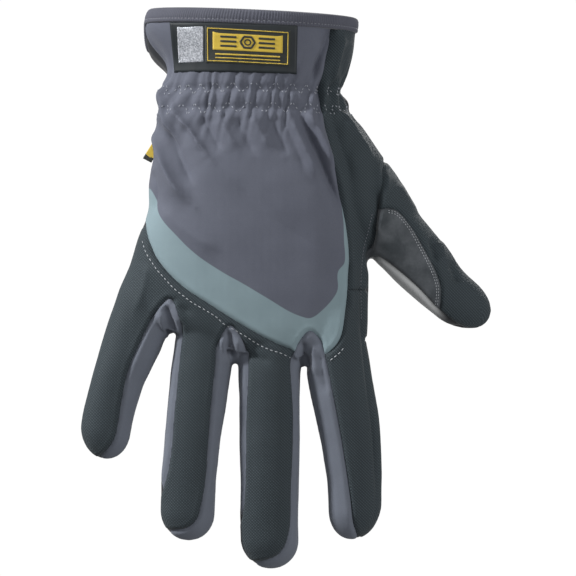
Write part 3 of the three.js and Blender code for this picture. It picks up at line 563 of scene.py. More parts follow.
FOLD_STEPS = 18  # points on the curve of a fold


def fold_rise(x, z, back):
    """How far the folds raise the back of the glove."""
    rise = np.zeros_like(x)
    for points, high, one_side, other_side in FOLDS:
        line = curve(photo_place(points), FOLD_STEPS)
        best = np.full(x.shape, 1e9)
        side = np.zeros_like(x)
        part = np.zeros_like(x)
        for k in range(len(line) - 1):
            a, way = line[k], line[k + 1] - line[k]
            size = way @ way
            t = np.clip(((x - a[0]) * way[0] + (z - a[1]) * way[1]) / size, 0, 1)
            dx, dz = x - a[0] - t * way[0], z - a[1] - t * way[1]
            away = dx * dx + dz * dz
            near = away < best
            best = np.where(near, away, best)
            side = np.where(near, dx * way[1] - dz * way[0], side)
            part = np.where(near, (k + t) / (len(line) - 1), part)
        wide = np.where(side > 0, other_side, one_side)
        ends = smooth(part / 0.22) * smooth((1 - part) / 0.3) * 0.85 + 0.15
        rise += FOLD_GAIN * high * ends * np.exp(-(np.sqrt(best + FOLD_TIP ** 2) - FOLD_TIP) / wide)
    return rise * back


# Unevenness: how high it is and how far apart its waves are, in millimetres, and its seed
COARSE_RIPPLE = (0.16, 34.0, 3)
FINE_RIPPLE = (0.07, 13.0, 5)
PALM_RIPPLE = (0.22, 16.0, 8)
RIPPLE_WAVES = 9


def ripple(x, y, z, high, size, seed):
    """Smooth unevenness from a few crossing waves."""
    rng = np.random.default_rng(seed)
    out = np.zeros_like(x)
    for _ in range(RIPPLE_WAVES):
        way = rng.normal(size=3)
        way = way / np.linalg.norm(way) * (2 * math.pi / size) * rng.uniform(0.7, 1.5)
        out += np.sin(x * way[0] + y * way[1] + z * way[2] + rng.uniform(0, 6.28))
    return high * (out / math.sqrt(RIPPLE_WAVES))


def hump(value, middle, reach):
    """A smooth rise to 1 at the middle."""
    return np.exp(-((value - middle) / reach) ** 2)


# The pleats of the wrist: how many go half the way round, how high they are and where they start
PLEATS = [(15, 1.2, 0.0), (24, 0.7, 0.6)]
PLEAT_MEAN = 0.9
PLEAT_GAIN = 1.15
PLEAT_DOWN, PLEAT_REACH = 0.25, 0.085  # shares of the body length

# How far the elastic draws a zigzag row in, over which share of the body length, and its fine puckers
ROW_DRAW = 1.0
ROW_REACH = 0.013
PUCKER_COUNT, PUCKER_HEIGHT = 58, 0.25

# The tight folds beside the side seam: how high, how close in radians a millimetre, and how far across
TIGHT_HEIGHT, TIGHT_STEP, TIGHT_REACH = 1.1, 1.15, 9.0


def gathers(x, y, z):
    """The pleats that the elastic draws in round the wrist."""
    down = -(z + cuff_fall(x, y) * (1 - smooth(-z / BODY_LENGTH / 0.3))) / BODY_LENGTH
    angle = np.arctan2(-y, x - 0.02 * PALM_WIDTH)
    # The angle wanders a little, so that the pleats aren't even
    wobble = angle + 0.05 * np.sin(5 * angle + 1.0) + 0.03 * np.sin(11 * angle) + 0.008 * z
    held = hump(down, PLEAT_DOWN, PLEAT_REACH)
    pleats = sum(high * np.abs(np.sin(count * wobble + shift)) for count, high, shift in PLEATS) - PLEAT_MEAN
    tight = hump(x, 0.35 * PALM_WIDTH, TIGHT_REACH) * hump(down, 0.24, 0.06)
    on_rows = sum(hump(down, row_down, ROW_REACH) for row_down in ROW_DOWN)
    puckers = np.cos(PUCKER_COUNT * wobble + 12 * down) * on_rows
    waist = PLEAT_GAIN * pleats * held * (1 - 0.35 * on_rows) - ROW_DRAW * on_rows * held
    return waist + PUCKER_HEIGHT * puckers + TIGHT_HEIGHT * tight * np.cos(TIGHT_STEP * x)


def relief(points, normals):
    """How far the folds, pleats and unevenness raise the surface."""
    x, y, z = points[:, 0], points[:, 1], points[:, 2]
    back = smooth(0.35 - normals[:, 1] * 1.4)
    rise = fold_rise(x, z, back)
    rise += gathers(x, y, z)
    rise += ripple(x, y, z, *COARSE_RIPPLE) + ripple(x, y, z, *FINE_RIPPLE)
    palm = smooth(normals[:, 1] * 1.4)
    hand = smooth((1.02 + z / BODY_LENGTH) / 0.1)
    return rise + ripple(x, y, z, *PALM_RIPPLE) * palm * hand


SEAM_DEPTH = 0.9
SEAM_EDGE = 0.22


def seam_relief(away):
    """A groove at a seam, with the turned edges standing up beside it."""
    return -SEAM_DEPTH * hump(away, 0.0, 0.8) + SEAM_EDGE * hump(away, 2.0, 1.1)


def weave_corners(mesh, points):
    """Weave coordinates of each corner, taken along the axis that its polygon faces most."""
    facing = np.abs(read(mesh.polygons, "normal", 3)).argmax(1)
    facing = np.repeat(facing, read(mesh.polygons, "loop_total", kind=int))
    place = points[read(mesh.loops, "vertex_index", kind=int)]
    u = np.where(facing == 0, place[:, 1], place[:, 0])
    v = np.where(facing == 2, place[:, 1], place[:, 2])
    return np.stack([u, v], -1)


def link_mesh(name, points, faces):
    """A smooth shaded object from points in millimetres."""
    mesh = bpy.data.meshes.new(name)
    faces = faces.tolist() if isinstance(faces, np.ndarray) else faces
    mesh.from_pydata((points * MM).tolist(), [], faces)
    mesh.polygons.foreach_set("use_smooth", [True] * len(mesh.polygons))
    obj = bpy.data.objects.new(name, mesh)
    bpy.context.scene.collection.objects.link(obj)
    return obj


def add_mesh(name, points, faces, woven=False):
    """A piece of the glove, bent as the hand is."""
    obj = link_mesh(name, bent(points), faces)
    if woven:
        layer = obj.data.uv_layers.new(name="weave")
        layer.data.foreach_set("uv", weave_corners(obj.data, points).ravel() * MM)
    return obj


def add_attribute(obj, name, values):
    layer = obj.data.attributes.new(name, "FLOAT", "POINT")
    layer.data.foreach_set("value", values)


def put(obj, cad_node, slot, material):
    """Gives a piece its material, hangs it from the root and hides the imported part that it stands for."""
    obj.data.materials.clear()
    for one in material if isinstance(material, list) else [material]:
        obj.data.materials.append(one)
    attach(obj, "root")
    if cad_node:
        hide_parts(cad_node)
    return obj


# Materials


def new_material(name):
    material = bpy.data.materials.new(name)
    material.use_nodes = True
    tree = material.node_tree
    shader = tree.nodes["Principled BSDF"]
    return material, tree, shader


def node(tree, kind, inputs=None, **settings):
    made = tree.nodes.new(kind)
    for key, value in settings.items():
        setattr(made, key, value)
    for key, value in (inputs or {}).items():
        if isinstance(value, bpy.types.NodeSocket):
            tree.links.new(value, made.inputs[key])
        else:
            made.inputs[key].default_value = value
    return made


def object_place(tree):
    return node(tree, "ShaderNodeTexCoord").outputs["Object"]


def weave_place(tree):
    """The weave coordinates, in millimetres."""
    uv = node(tree, "ShaderNodeUVMap", uv_map="weave")
    return node(tree, "ShaderNodeMapping", {"Vector": uv.outputs[0], "Scale": (1000.0,) * 3}).outputs[0]


def waves(tree, place, direction, scale, distortion, detail=2.0, detail_scale=1.0):
    inputs = {"Vector": place, "Scale": scale, "Distortion": distortion, "Detail": detail,
              "Detail Scale": detail_scale}
    return node(tree, "ShaderNodeTexWave", inputs, wave_type="BANDS", bands_direction=direction,
                wave_profile="SIN").outputs["Fac"]


def cells(tree, scale, output):
    inputs = {"Vector": object_place(tree), "Scale": scale}
    return node(tree, "ShaderNodeTexVoronoi", inputs, feature="F1").outputs[output]


def attribute(tree, name):
    return node(tree, "ShaderNodeAttribute", attribute_name=name).outputs["Fac"]


def between(tree, value, low, high):
    """0 at the low value and 1 at the high one."""
    return node(tree, "ShaderNodeMapRange", {"Value": value, "From Min": low, "From Max": high}).outputs[0]


def times(tree, a, b):
    return node(tree, "ShaderNodeMath", {0: a, 1: b}, operation="MULTIPLY").outputs[0]


def blend(tree, a, share_a, b, share_b):
    """Two heights added, each by its share."""
    inputs = {0: times(tree, a, share_a), 1: times(tree, b, share_b)}
    return node(tree, "ShaderNodeMath", inputs, operation="ADD").outputs[0]


def mix_color(tree, factor, a, b, share=1.0):
    """The colour a, and the colour b where the factor is high, by a share of it."""
    made = node(tree, "ShaderNodeMix", data_type="RGBA")
    factor = factor if share == 1.0 else times(tree, factor, share)
    for socket, value in ((made.inputs[0], factor), (made.inputs[6], a), (made.inputs[7], b)):
        if isinstance(value, bpy.types.NodeSocket):
            tree.links.new(value, socket)
        else:
            socket.default_value = value
    return made.outputs[2]


def object_noise(tree, scale, detail=3.0):
    inputs = {"Vector": object_place(tree), "Scale": scale, "Detail": detail}
    return node(tree, "ShaderNodeTexNoise", inputs).outputs["Fac"]


def dress(tree, shader, color, roughness, bump, sheen=0.0, specular=0.5):
    """Colour, roughness, sheen and bump of a shader. A bump is a height, a strength and a distance."""
    height, strength, distance = bump
    raised = node(tree, "ShaderNodeBump", {"Height": height, "Strength": strength, "Distance": distance})
    tree.links.new(color, shader.inputs["Base Color"])
    tree.links.new(raised.outputs[0], shader.inputs["Normal"])
    for name, value in (("Roughness", roughness), ("Sheen Weight", sheen), ("Specular IOR Level", specular)):
        shader.inputs[name].default_value = value


def rgb(r, g, b):
    """A colour given as it looks on screen, in the linear form that the shaders use."""
    def one(c):
        c = c / 255
        return c / 12.92 if c <= 0.04045 else ((c + 0.055) / 1.055) ** 2.4
    return (one(r), one(g), one(b), 1.0)


# Each cloth has a dull colour, a clear one and one for its depths
GREY_CLOTH = rgb(99, 103, 116), rgb(116, 120, 133), rgb(76, 79, 91)
# The same grey cloth for the forks between the fingers, painted lighter to make up for the shade that falls
# on them
GREY_CLOTH_PAINTED_LIGHTER = rgb(112, 118, 130), rgb(130, 136, 148), rgb(84, 89, 100)


def stretch_material(with_band):
    material, tree, shader = new_material("grey_stretch_band" if with_band else "grey_stretch")
    place = weave_place(tree)
    ribs, rows = [waves(tree, place, direction, 0.62, 0.6, 1.0, 2.0) for direction in "XY"]
    knit = blend(tree, ribs, 0.6, rows, 0.4)
    patches = object_noise(tree, 60.0)
    # Without the band the cloth takes the lighter copy, with painted light for the shaded forks
    dull, clear, deep = GREY_CLOTH if with_band else GREY_CLOTH_PAINTED_LIGHTER
    grey = mix_color(tree, patches, dull, clear)
    grey = mix_color(tree, knit, grey, deep, 0.35)
    color = mix_color(tree, object_noise(tree, 2600.0, 2.0), grey, deep, 0.45)
    if with_band:
        pale = mix_color(tree, patches, rgb(128, 147, 154), rgb(140, 159, 165))
        pale = mix_color(tree, knit, pale, rgb(122, 142, 150), 0.25)
        color = mix_color(tree, between(tree, attribute(tree, "band"), -0.12, 0.12), color, pale)
    shader.inputs["Sheen Roughness"].default_value = 0.4
    dress(tree, shader, color, 0.78, (knit, 0.35, 0.0002), 0.12, 0.3)
    return material


def mesh_material():
    material, tree, shader = new_material("black_knit")
    place = weave_place(tree)
    across = node(tree, "ShaderNodeMapping", {"Vector": place, "Scale": (-1, 1, 1)}).outputs[0]
    one, two = [waves(tree, start, "DIAGONAL", 0.46, 0.25, 1.0) for start in (place, across)]
    knit = blend(tree, times(tree, one, two), 0.55, one, 0.35)
    dark = mix_color(tree, object_noise(tree, 45.0), rgb(38, 46, 51), rgb(50, 58, 63))
    color = mix_color(tree, knit, dark, rgb(78, 90, 96), 0.75)
    dress(tree, shader, color, 0.72, (knit, 0.6, 0.0003), 0.06, 0.3)
    return material


def suede_material():
    material, tree, shader = new_material("charcoal_suede")
    fine = object_noise(tree, 900.0, 6.0)
    nap = between(tree, object_noise(tree, 110.0, 6.0), 0.32, 0.68)
    color = mix_color(tree, nap, rgb(70, 75, 79), rgb(108, 112, 117))
    color = mix_color(tree, fine, color, rgb(58, 62, 66), 0.5)
    dress(tree, shader, color, 0.95, (fine, 0.5, 0.0003), 0.15, 0.15)
    return material


def leather_material():
    material, tree, shader = new_material("palm_leather")
    patches = object_noise(tree, 40.0, 4.0)
    dark = mix_color(tree, patches, rgb(44, 46, 50), rgb(60, 62, 66))
    # The pale colour is partly the light-grey tone of the thumb leather and partly a painted highlight, where
    # its edge catches the light
    pale = mix_color(tree, patches, rgb(176, 178, 180), rgb(206, 208, 208))
    color = mix_color(tree, attribute(tree, "rim"), dark, pale)
    dress(tree, shader, color, 0.62, (cells(tree, 900.0, "Distance"), 0.35, 0.0002), 0.15, 0.35)
    return material


def plain_material(name, one, two, scale, roughness):
    material, tree, shader = new_material(name)
    fine = object_noise(tree, scale, 4.0)
    dress(tree, shader, mix_color(tree, fine, one, two), roughness, (fine, 0.3, 0.0002))
    return material


def binding_material():
    material, tree, shader = new_material("grey_binding")
    color = mix_color(tree, object_noise(tree, 120.0), rgb(74, 76, 88), rgb(88, 90, 102))
    dress(tree, shader, color, 0.85, (object_noise(tree, 1500.0), 0.3, 0.0002), 0.3)
    return material


def glitter_material():
    material, tree, shader = new_material("silver_glitter")
    shine = node(tree, "ShaderNodeSeparateColor", {0: cells(tree, 1900.0, "Color")}).outputs[0]
    color = mix_color(tree, shine, rgb(140, 145, 153), rgb(222, 225, 232))
    shader.inputs["Metallic"].default_value = 0.25
    dress(tree, shader, color, 0.35, (shine, 0.6, 0.0003))
    return material


def woven_material(name, one, two):
    material, tree, shader = new_material(name)
    threads = waves(tree, object_place(tree), "Z", 800.0, 0.3)
    dress(tree, shader, mix_color(tree, threads, one, two), 0.6, (threads, 0.4, 0.0002), 0.2)
    return material


STRETCH_BAND = stretch_material(True)
STRETCH = stretch_material(False)
KNIT = mesh_material()
SUEDE = suede_material()
LEATHER = leather_material()
BINDING = binding_material()
LABEL = plain_material("label_black", rgb(24, 30, 34), rgb(38, 45, 49), 260.0, 0.6)
GLITTER = glitter_material()
YELLOW = woven_material("yellow_weave", rgb(206, 172, 44), rgb(232, 204, 84))
BADGE_GROUND = woven_material("badge_ground", rgb(26, 30, 26), rgb(44, 50, 44))
PALE_THREAD = plain_material("pale_thread", rgb(168, 172, 178), rgb(200, 203, 208), 3000.0, 0.6)
GREY_THREAD = plain_material("grey_thread", rgb(112, 114, 124), rgb(140, 142, 150), 3000.0, 0.6)
ZIGZAG_THREAD = plain_material("zigzag_thread", rgb(146, 150, 160), rgb(182, 186, 194), 3000.0, 0.6)


def panel_finish(name):
    """The material slot of a panel, and its material."""
    if name == "back_panel":
        return "stretch", STRETCH_BAND
    if name == "thumb_patch":
        return "suede", SUEDE
    if name.startswith("fourchette"):
        return "stretch", STRETCH
    if "palm" in name:
        return "palm_leather", LEATHER
    return "mesh", KNIT


def solid_panel(outer, normals, faces, wall):
    """A sheet with its thickness: the outer skin, the inner skin and the cut edges."""
    inner = outer - normals * wall
    count = len(outer)
    edges = np.vstack([faces[:, [0, 1]], faces[:, [1, 2]], faces[:, [2, 0]]])
    keys = edges[:, 0].astype(np.int64) * count + edges[:, 1]
    other = edges[:, 1].astype(np.int64) * count + edges[:, 0]
    rim = edges[~np.isin(keys, other)]
    a, b = rim[:, 0], rim[:, 1]
    sides = np.vstack([np.stack([b, a, a + count], -1), np.stack([b, a + count, b + count], -1)])
    return np.vstack([outer, inner]), np.vstack([faces, faces[:, ::-1] + count, sides])


def largest_part(points, faces):
    """Drops the loose scraps that a cut leaves."""
    parent = np.arange(len(points))
    for _ in range(200):
        low = parent[faces].min(1)
        before = parent.copy()
        for corner in faces.T:
            np.minimum.at(parent, corner, low)
        parent = parent[parent]
        if (parent == before).all():
            break
    roots, sizes = np.unique(parent[faces[:, 0]], return_counts=True)
    return compact(points, faces[parent[faces[:, 0]] == roots[sizes.argmax()]])


# How far the pale tone and painted highlight at the thumb leather's edge take to fade out, in millimetres
PALE_EDGE = 3.0


def rim_tone_and_highlight(points):
    """Where the edge of the thumb's leather takes its pale tone and a painted highlight, from 0 to 1."""
    x, y, z = points.T
    near_rim = smooth((inside(RIM_REGION, x, z) + PALE_EDGE) / PALE_EDGE)
    near_back = smooth((PALE_EDGE - y) / PALE_EDGE)
    above_fingers = smooth((0.95 * BODY_LENGTH + z) / 1.0)
    off_tip = smooth((0.9 * PALM_WIDTH - x) / 8.0)
    off_hand = smooth((x - 0.5 * PALM_WIDTH) / 1.0)
    return near_rim * near_back * above_fingers * off_tip * off_hand


def build_panels():
    """Cuts the surface into its panels, folds them and gives them their thickness."""
    master, faces = master_surface()
    fields = view_fields(master)
    data = np.hstack([master] + [field[:, None] for field in fields.values()])
    column = {name: master.shape[1] + number for number, name in enumerate(fields)}
    skins = []
    for name, limits in PANELS.items():
        points, kept = data, faces
        for limit in ["cuff"] + limits:
            value = points[:, column[limit.lstrip("-")]] * (-1 if limit.startswith("-") else 1)
            points, kept = clip(points, kept, value - SEAM_INSET)
        points, kept = largest_part(points, kept)
        places = points[:, :3]
        normals = points[:, 3:6] / np.linalg.norm(points[:, 3:6], axis=1, keepdims=True)
        away = np.min([np.abs(points[:, column[limit.lstrip("-")]]) for limit in limits], axis=0)
        rise = relief(places, normals) + seam_relief(away)
        skin = places + normals * rise[:, None]
        obj = add_mesh(name + "_cloth", *solid_panel(skin, normals, kept, FABRIC_WALL), woven=True)
        if name == "back_panel":
            band = inside(BAND_REGION, places[:, 0], places[:, 2])
            add_attribute(obj, "band", np.concatenate([band, band]))
        if name == "thumb_palm":
            # The thumb leather's edge gets a pale tone with a painted highlight
            rim = rim_tone_and_highlight(places)
            add_attribute(obj, "rim", np.concatenate([rim, rim * 0]))
        put(obj, name, *panel_finish(name))
        skins.append((skin, kept))
    return skins


def surface_tree(skins):
    """All the outer skins, ready to be asked where a ray meets them."""
    points, faces, start = [], [], 0
    for skin, kept in skins:
        points.append(bent(skin))
        faces.append(kept + start)
        start += len(skin)
    return BVHTree.FromPolygons(np.vstack(points).tolist(), np.vstack(faces).tolist())


TREE = surface_tree(build_panels())


def on_back(x, z):
    """The point and normal of the glove's surface behind a place of the front view."""
    hit, normal, _, _ = TREE.ray_cast(Vector((x, IN_FRONT, z)), Vector((0, 1, 0)))
    return (None, None) if hit is None else (np.array(hit), np.array(normal))


# Stitches: the step of a row, and the length, width and height of each, in millimetres
KNUCKLE_STITCH = (2.2, 1.25, 0.42, 0.3)
PATCH_STITCH = (1.35, 0.75, 0.34, 0.26)
EDGE_STITCH = (1.5, 0.8, 0.32, 0.24)
BADGE_STEP = 0.42
# Stitches that aren't laid by a step have the last three alone
ZIGZAG_STITCH = (0.95, 0.42, 0.34)
BINDING_STITCH = (0.95, 0.42, 0.3)
ZIGZAG_TEETH = 32
ZIGZAG_PER_SIDE = 3  # stitches on each side of a tooth
BINDING_STITCHES = 150
PATCH_ROWS = (1.1, 2.0)  # how far the patch's rows lie from its edge, in millimetres
EDGE_ASIDE = 2.5  # how far the edge row lies left of its seam, in pixels of the photograph


class Threads:
    """Many short stitches, gathered into one mesh."""

    SIDES = 6
    RINGS = [(-0.5, 0.45), (-0.3, 0.95), (0.3, 0.95), (0.5, 0.45)]

    def __init__(self):
        self.points = []
        self.faces = []

    def stitch(self, place, along, out, length, width, height):
        """One stitch as a small rounded body that lies on the cloth."""
        side = np.cross(along, out)
        side = side / (np.linalg.norm(side) + 1e-9)
        out = np.cross(side, along)
        count = self.SIDES
        start = len(self.points)
        for part, swell in self.RINGS:
            for corner in range(count):
                turn = corner * 2 * math.pi / count
                point = place + along * part * length + side * math.cos(turn) * width / 2 * swell
                self.points.append(point + out * (math.sin(turn) * height / 2 * swell + height * 0.25))
        last = start + count * (len(self.RINGS) - 1)
        for ring in range(start, last, count):
            for corner in range(count):
                a = ring + corner
                b = ring + (corner + 1) % count
                self.faces.append([a, b, b + count, a + count])
        self.faces.append([start + corner for corner in range(count - 1, -1, -1)])
        self.faces.append([last + corner for corner in range(count)])

    def make(self, name, slot, material):
        return put(link_mesh(name, np.array(self.points), self.faces), None, slot, material)


def row_on_back(threads, line, period, length, width, height):
    """Stitches at even steps along a line of the front view."""
    places, ways = even(line, period)
    for (x, z), (wx, wz) in zip(places, ways):
        hit, normal = on_back(x, z)
        if hit is None:
            continue
        ahead, _ = on_back(x + wx * 0.4, z + wz * 0.4)
        along = ahead - hit if ahead is not None else np.array([wx, 0, wz])
        threads.stitch(hit, unit(along), normal, length, width, height)


def offset_line(line, distance):
    """A line moved sideways in the front view."""
    way = np.gradient(line, axis=0)
    way = way / np.linalg.norm(way, axis=1, keepdims=True)
    return line + distance * np.stack([way[:, 1], -way[:, 0]], -1)


def knuckle_stitches():
    """A row below the knuckle seam, and a short one beside the index finger."""
    threads = Threads()
    below = [(143, 240), (147, 252), (153, 262), (159, 270.5), (163.5, 275.5), (175.5, 288.5), (184, 295),
             (193, 302), (201.5, 307), (211, 312.5), (219, 318), (223.5, 322.5), (245, 335), (259, 344),
             (270, 349), (281, 352.5), (290, 357)]
    beside = [(329, 360), (333, 357), (338, 353), (341, 350), (344, 345)]
    for points in (below, beside):
        row_on_back(threads, curve(photo_place(points), 120), *KNUCKLE_STITCH)
    threads.make("knuckle_stitches", "mesh", PALE_THREAD)


def patch_stitches():
    """Two rows along the upper edge of the thumb patch."""
    threads = Threads()
    for distance in PATCH_ROWS:
        row_on_back(threads, offset_line(PATCH_LINE, distance)[16:58], *PATCH_STITCH)
    threads.make("patch_stitches", "suede", PALE_THREAD)


def edge_stitches():
    """A row beside the upper part of the seam at the right edge of the hand."""
    threads = Threads()
    line = photo_place([(x - EDGE_ASIDE, y) for x, y in EDGE_SEAM[1:7]])
    row_on_back(threads, curve(line, 90), *EDGE_STITCH)
    threads.make("edge_stitches", "mesh", GREY_THREAD)


def on_wrist(angle, down):
    """The point and normal of the surface round the wrist."""
    right, left, skin = body_point(np.array([0.0, math.pi, angle]), np.full(3, down))
    centre = (right + left) / 2
    start = bent(np.array([[centre[0], 0.0, skin[2]]]))[0]
    target = bent(skin[None, :])[0]
    way = target - start
    hit, normal, _, _ = TREE.ray_cast(Vector(start), Vector(way).normalized())
    if hit is None:
        return target, unit(way)
    normal = np.array(normal)
    return np.array(hit), normal if normal @ way > 0 else -normal


def zigzag_stitches():
    """Two zigzag rows hold the elastic inside the wrist, all the way round."""
    threads = Threads()
    teeth = ZIGZAG_TEETH
    for row_down, half, shift in ((ROW_DOWN[0], 0.0150, 0.0), (ROW_DOWN[1], 0.0165, 0.4)):
        corners = []
        for tooth in range(2 * teeth):
            angle = math.pi * (tooth + shift) / teeth
            down = row_down + half * (1 if tooth % 2 else -1) + 0.003 * math.sin(3 * angle)
            corners.append((angle, down))
        corners.append((corners[0][0] + 2 * math.pi, corners[0][1]))
        for (a0, d0), (a1, d1) in zip(corners[:-1], corners[1:]):
            for step in range(ZIGZAG_PER_SIDE):
                part = (step + 0.5) / ZIGZAG_PER_SIDE
                place, normal = on_wrist(a0 + (a1 - a0) * part, d0 + (d1 - d0) * part)
                part += 0.05
                ahead, _ = on_wrist(a0 + (a1 - a0) * part, d0 + (d1 - d0) * part)
                along = ahead - place
                size = np.linalg.norm(along)
                if size > 1e-6:
                    threads.stitch(place, along / size, normal, *ZIGZAG_STITCH)
    threads.make("zigzag_stitches", "stretch", ZIGZAG_THREAD)


BINDING_RIBS = 250
RIB_HEIGHT = 0.13
BINDING_GROOVE = 4.9
# inset from the skin and depth below the edge, in millimetres, round the folded band
BINDING_PROFILE = [(-0.5, 6.4), (-0.95, 6.1), (-1.05, 5.2), (-0.8, BINDING_GROOVE), (-1.05, 4.5),
                   (-1.15, 3.2), (-1.1, 1.6), (-0.75, 0.6), (0.0, 0.05), (0.9, 0.0), (1.7, 0.4),
                   (2.1, 1.4), (2.2, 3.4), (2.1, 5.6), (1.6, 6.2), (0.6, 6.5)]


def cuff_binding():
    """A ribbed band folded over the cuff edge."""
    columns = 4 * BINDING_RIBS
    angle = turns(columns)
    rib = RIB_HEIGHT * np.cos(2 * math.pi * np.arange(columns) / 4)
    rings = []
    for inset, depth in BINDING_PROFILE:
        down = np.full(columns, depth / BODY_LENGTH)
        rings.append(body_point(angle, down, inset - rib * (1 if inset < 0.5 else 0.4)))
    points = np.stack(rings, 1)
    index = np.arange(columns * len(rings)).reshape(columns, len(rings))
    right = np.roll(index, -1, axis=0)
    quads = np.stack([index, np.roll(index, -1, 1), np.roll(right, -1, 1), right], -1).reshape(-1, 4)
    obj = add_mesh("cuff_binding_knit", points.reshape(-1, 3), quads[:, ::-1])
    put(obj, "cuff_binding", "binding", BINDING)


def binding_stitches():
    """A row that holds the binding down, all the way round."""
    threads = Threads()
    depth = BINDING_GROOVE / BODY_LENGTH
    for number in range(BINDING_STITCHES):
        turn = 2 * math.pi * number / BINDING_STITCHES
        ends = bent(body_point(np.array([turn - 0.006, turn + 0.006]), np.full(2, depth), -0.85))
        place = ends.mean(0)
        out = place - bent(body_point(np.array([turn]), np.array([depth]), 1.0))[0]
        threads.stitch(place, unit(ends[1] - ends[0]), unit(out), *BINDING_STITCH)
    threads.make("binding_stitches", "binding", GREY_THREAD)


# The label and the tag


def sheet_faces(rows, columns):
    """Faces of a plate whose front points come first, row by row, and then its back points."""
    count = rows * columns
    index = np.arange(count).reshape(rows, columns)
    quads = np.stack([index[:-1, :-1], index[1:, :-1], index[1:, 1:], index[:-1, 1:]], -1).reshape(-1, 4)
    rim = np.concatenate([index[0, :], index[1:, -1], index[-1, -2::-1], index[-2:0:-1, 0]])
    sides = [[a, b, b + count, a + count] for a, b in zip(rim, np.roll(rim, -1))]
    return quads.tolist() + (quads[:, ::-1] + count).tolist() + sides


PLATE_EASING = 14  # rounds that even out the cloth's pleats under a plate


def plate(name, corners, low, high, columns, rows, edge=0.35):
    """A thin plate that follows the back of the glove, with rounded edges."""
    corners = photo_place(corners)
    u = np.linspace(0, 1, columns)
    v = np.linspace(0, 1, rows)
    top = corners[0] + (corners[1] - corners[0]) * u[:, None]
    bottom = corners[3] + (corners[2] - corners[3]) * u[:, None]
    flat = top[None] * (1 - v[:, None, None]) + bottom[None] * v[:, None, None]
    width = np.linalg.norm(corners[1] - corners[0])
    height = np.linalg.norm(corners[3] - corners[0])
    skin = np.zeros((rows, columns))
    for spot in np.ndindex(rows, columns):
        hit, _ = on_back(*flat[spot])
        skin[spot] = hit[1]
    for _ in range(PLATE_EASING):
        grown = np.pad(skin, 1, mode="edge")
        skin = (grown[1:-1, :-2] + grown[1:-1, 2:] + grown[:-2, 1:-1] + grown[2:, 1:-1]) / 4
    border = np.minimum.outer(np.minimum(v, 1 - v) * height, np.minimum(u, 1 - u) * width)
    lift = low + (high - low) * np.sqrt(np.clip(1 - (1 - np.clip(border / edge, 0, 1)) ** 2, 0, 1))
    front = np.stack([flat[..., 0], skin - lift, flat[..., 1]], -1).reshape(-1, 3)
    back = np.stack([flat[..., 0], skin - low + 0.05, flat[..., 1]], -1).reshape(-1, 3)
    return link_mesh(name, np.vstack([front, back]), sheet_faces(rows, columns))


# Corners of the label and its fields in the photograph, clockwise from the upper left
LABEL_CORNERS = [(171.5, 26.5), (297.5, 30), (296.5, 78), (175.5, 75)]
SILVER_CORNERS = [(179, 31.5), (205.6, 31), (205.6, 66), (180, 66)]
BADGE_CORNERS = [(206.6, 31.2), (290.6, 36.2), (290.0, 70.8), (206.8, 66.8)]

# How far off the cloth each one's underside and front lie, and how far the threads on them are lifted
LABEL_RISE = (0.0, 0.75)
SILVER_RISE = (0.7, 1.0)
BADGE_RISE = (0.7, 0.95)
FIELD_RISE = (0.94, 1.06)
FRAME_LIFT = 1.05
BARS_LIFT = 1.12
FIELD_EDGE = 0.2  # radius of the fields' rounded edges


def wrist_label():
    label = plate("label_cloth", LABEL_CORNERS, *LABEL_RISE, 90, 36)
    put(label, "wrist_label", "label", LABEL)
    silver = plate("reflector_sheet", SILVER_CORNERS, *SILVER_RISE, 24, 28, FIELD_EDGE)
    put(silver, "label_reflector", "reflector", GLITTER)
    ground = plate("badge_cloth", BADGE_CORNERS, *BADGE_RISE, 64, 28, FIELD_EDGE)
    put(ground, "label_badge", "badge", BADGE_GROUND)
    badge_lines()


def badge_lines():
    """A yellow frame, a yellow field with a dark hexagon nut on it, and plain bars."""
    a, b, c, d = np.array(BADGE_CORNERS)

    def at(u, v):
        return (a * (1 - u) + b * u) * (1 - v) + (d * (1 - u) + c * u) * v

    def woven(name, runs, material, lift):
        threads = Threads()
        for points, width in runs:
            row_on_back(threads, photo_place([at(u, v) for u, v in points]), BADGE_STEP, 0.5, width, 0.3)
        threads.points = [point - np.array([0.0, lift, 0.0]) for point in threads.points]
        threads.make(name, "badge", material)

    def around(u, v, wide, high, sides):
        steps = [2 * math.pi * k / sides for k in range(sides + 1)]
        return [(u + wide * math.cos(t), v + high * math.sin(t)) for t in steps]

    field = [(0.09, 0.15), (0.91, 0.15), (0.91, 0.64), (0.09, 0.64)]
    yellow = plate("badge_field", [at(u, v) for u, v in field], *FIELD_RISE, 40, 16, FIELD_EDGE)
    put(yellow, None, "badge", YELLOW)
    frame_run = ([(0.03, 0.06), (0.97, 0.06), (0.97, 0.94), (0.03, 0.94), (0.03, 0.06)], 0.45)
    bars = [([(0.12, 0.75), (0.88, 0.75)], 0.8), ([(0.12, 0.85), (0.88, 0.85)], 0.5)]
    woven("badge_frame", [frame_run] + bars, YELLOW, FRAME_LIFT)
    dark = [(around(0.5, 0.395, 0.085, 0.175, 6), 1.0), (around(0.5, 0.395, 0.035, 0.075, 14), 0.7)]
    for left in (0.18, 0.63):
        dark += [([(left, v), (left + 0.19, v)], 1.0) for v in (0.27, 0.395, 0.52)]
    woven("badge_bars", dark, BADGE_GROUND, BARS_LIFT)


TAG_SWELL = 0.55
TAG_BARS = [(0.22, 0.3), (0.42, 0.5), (0.86, 1.5)]  # where the tag is dark, along it


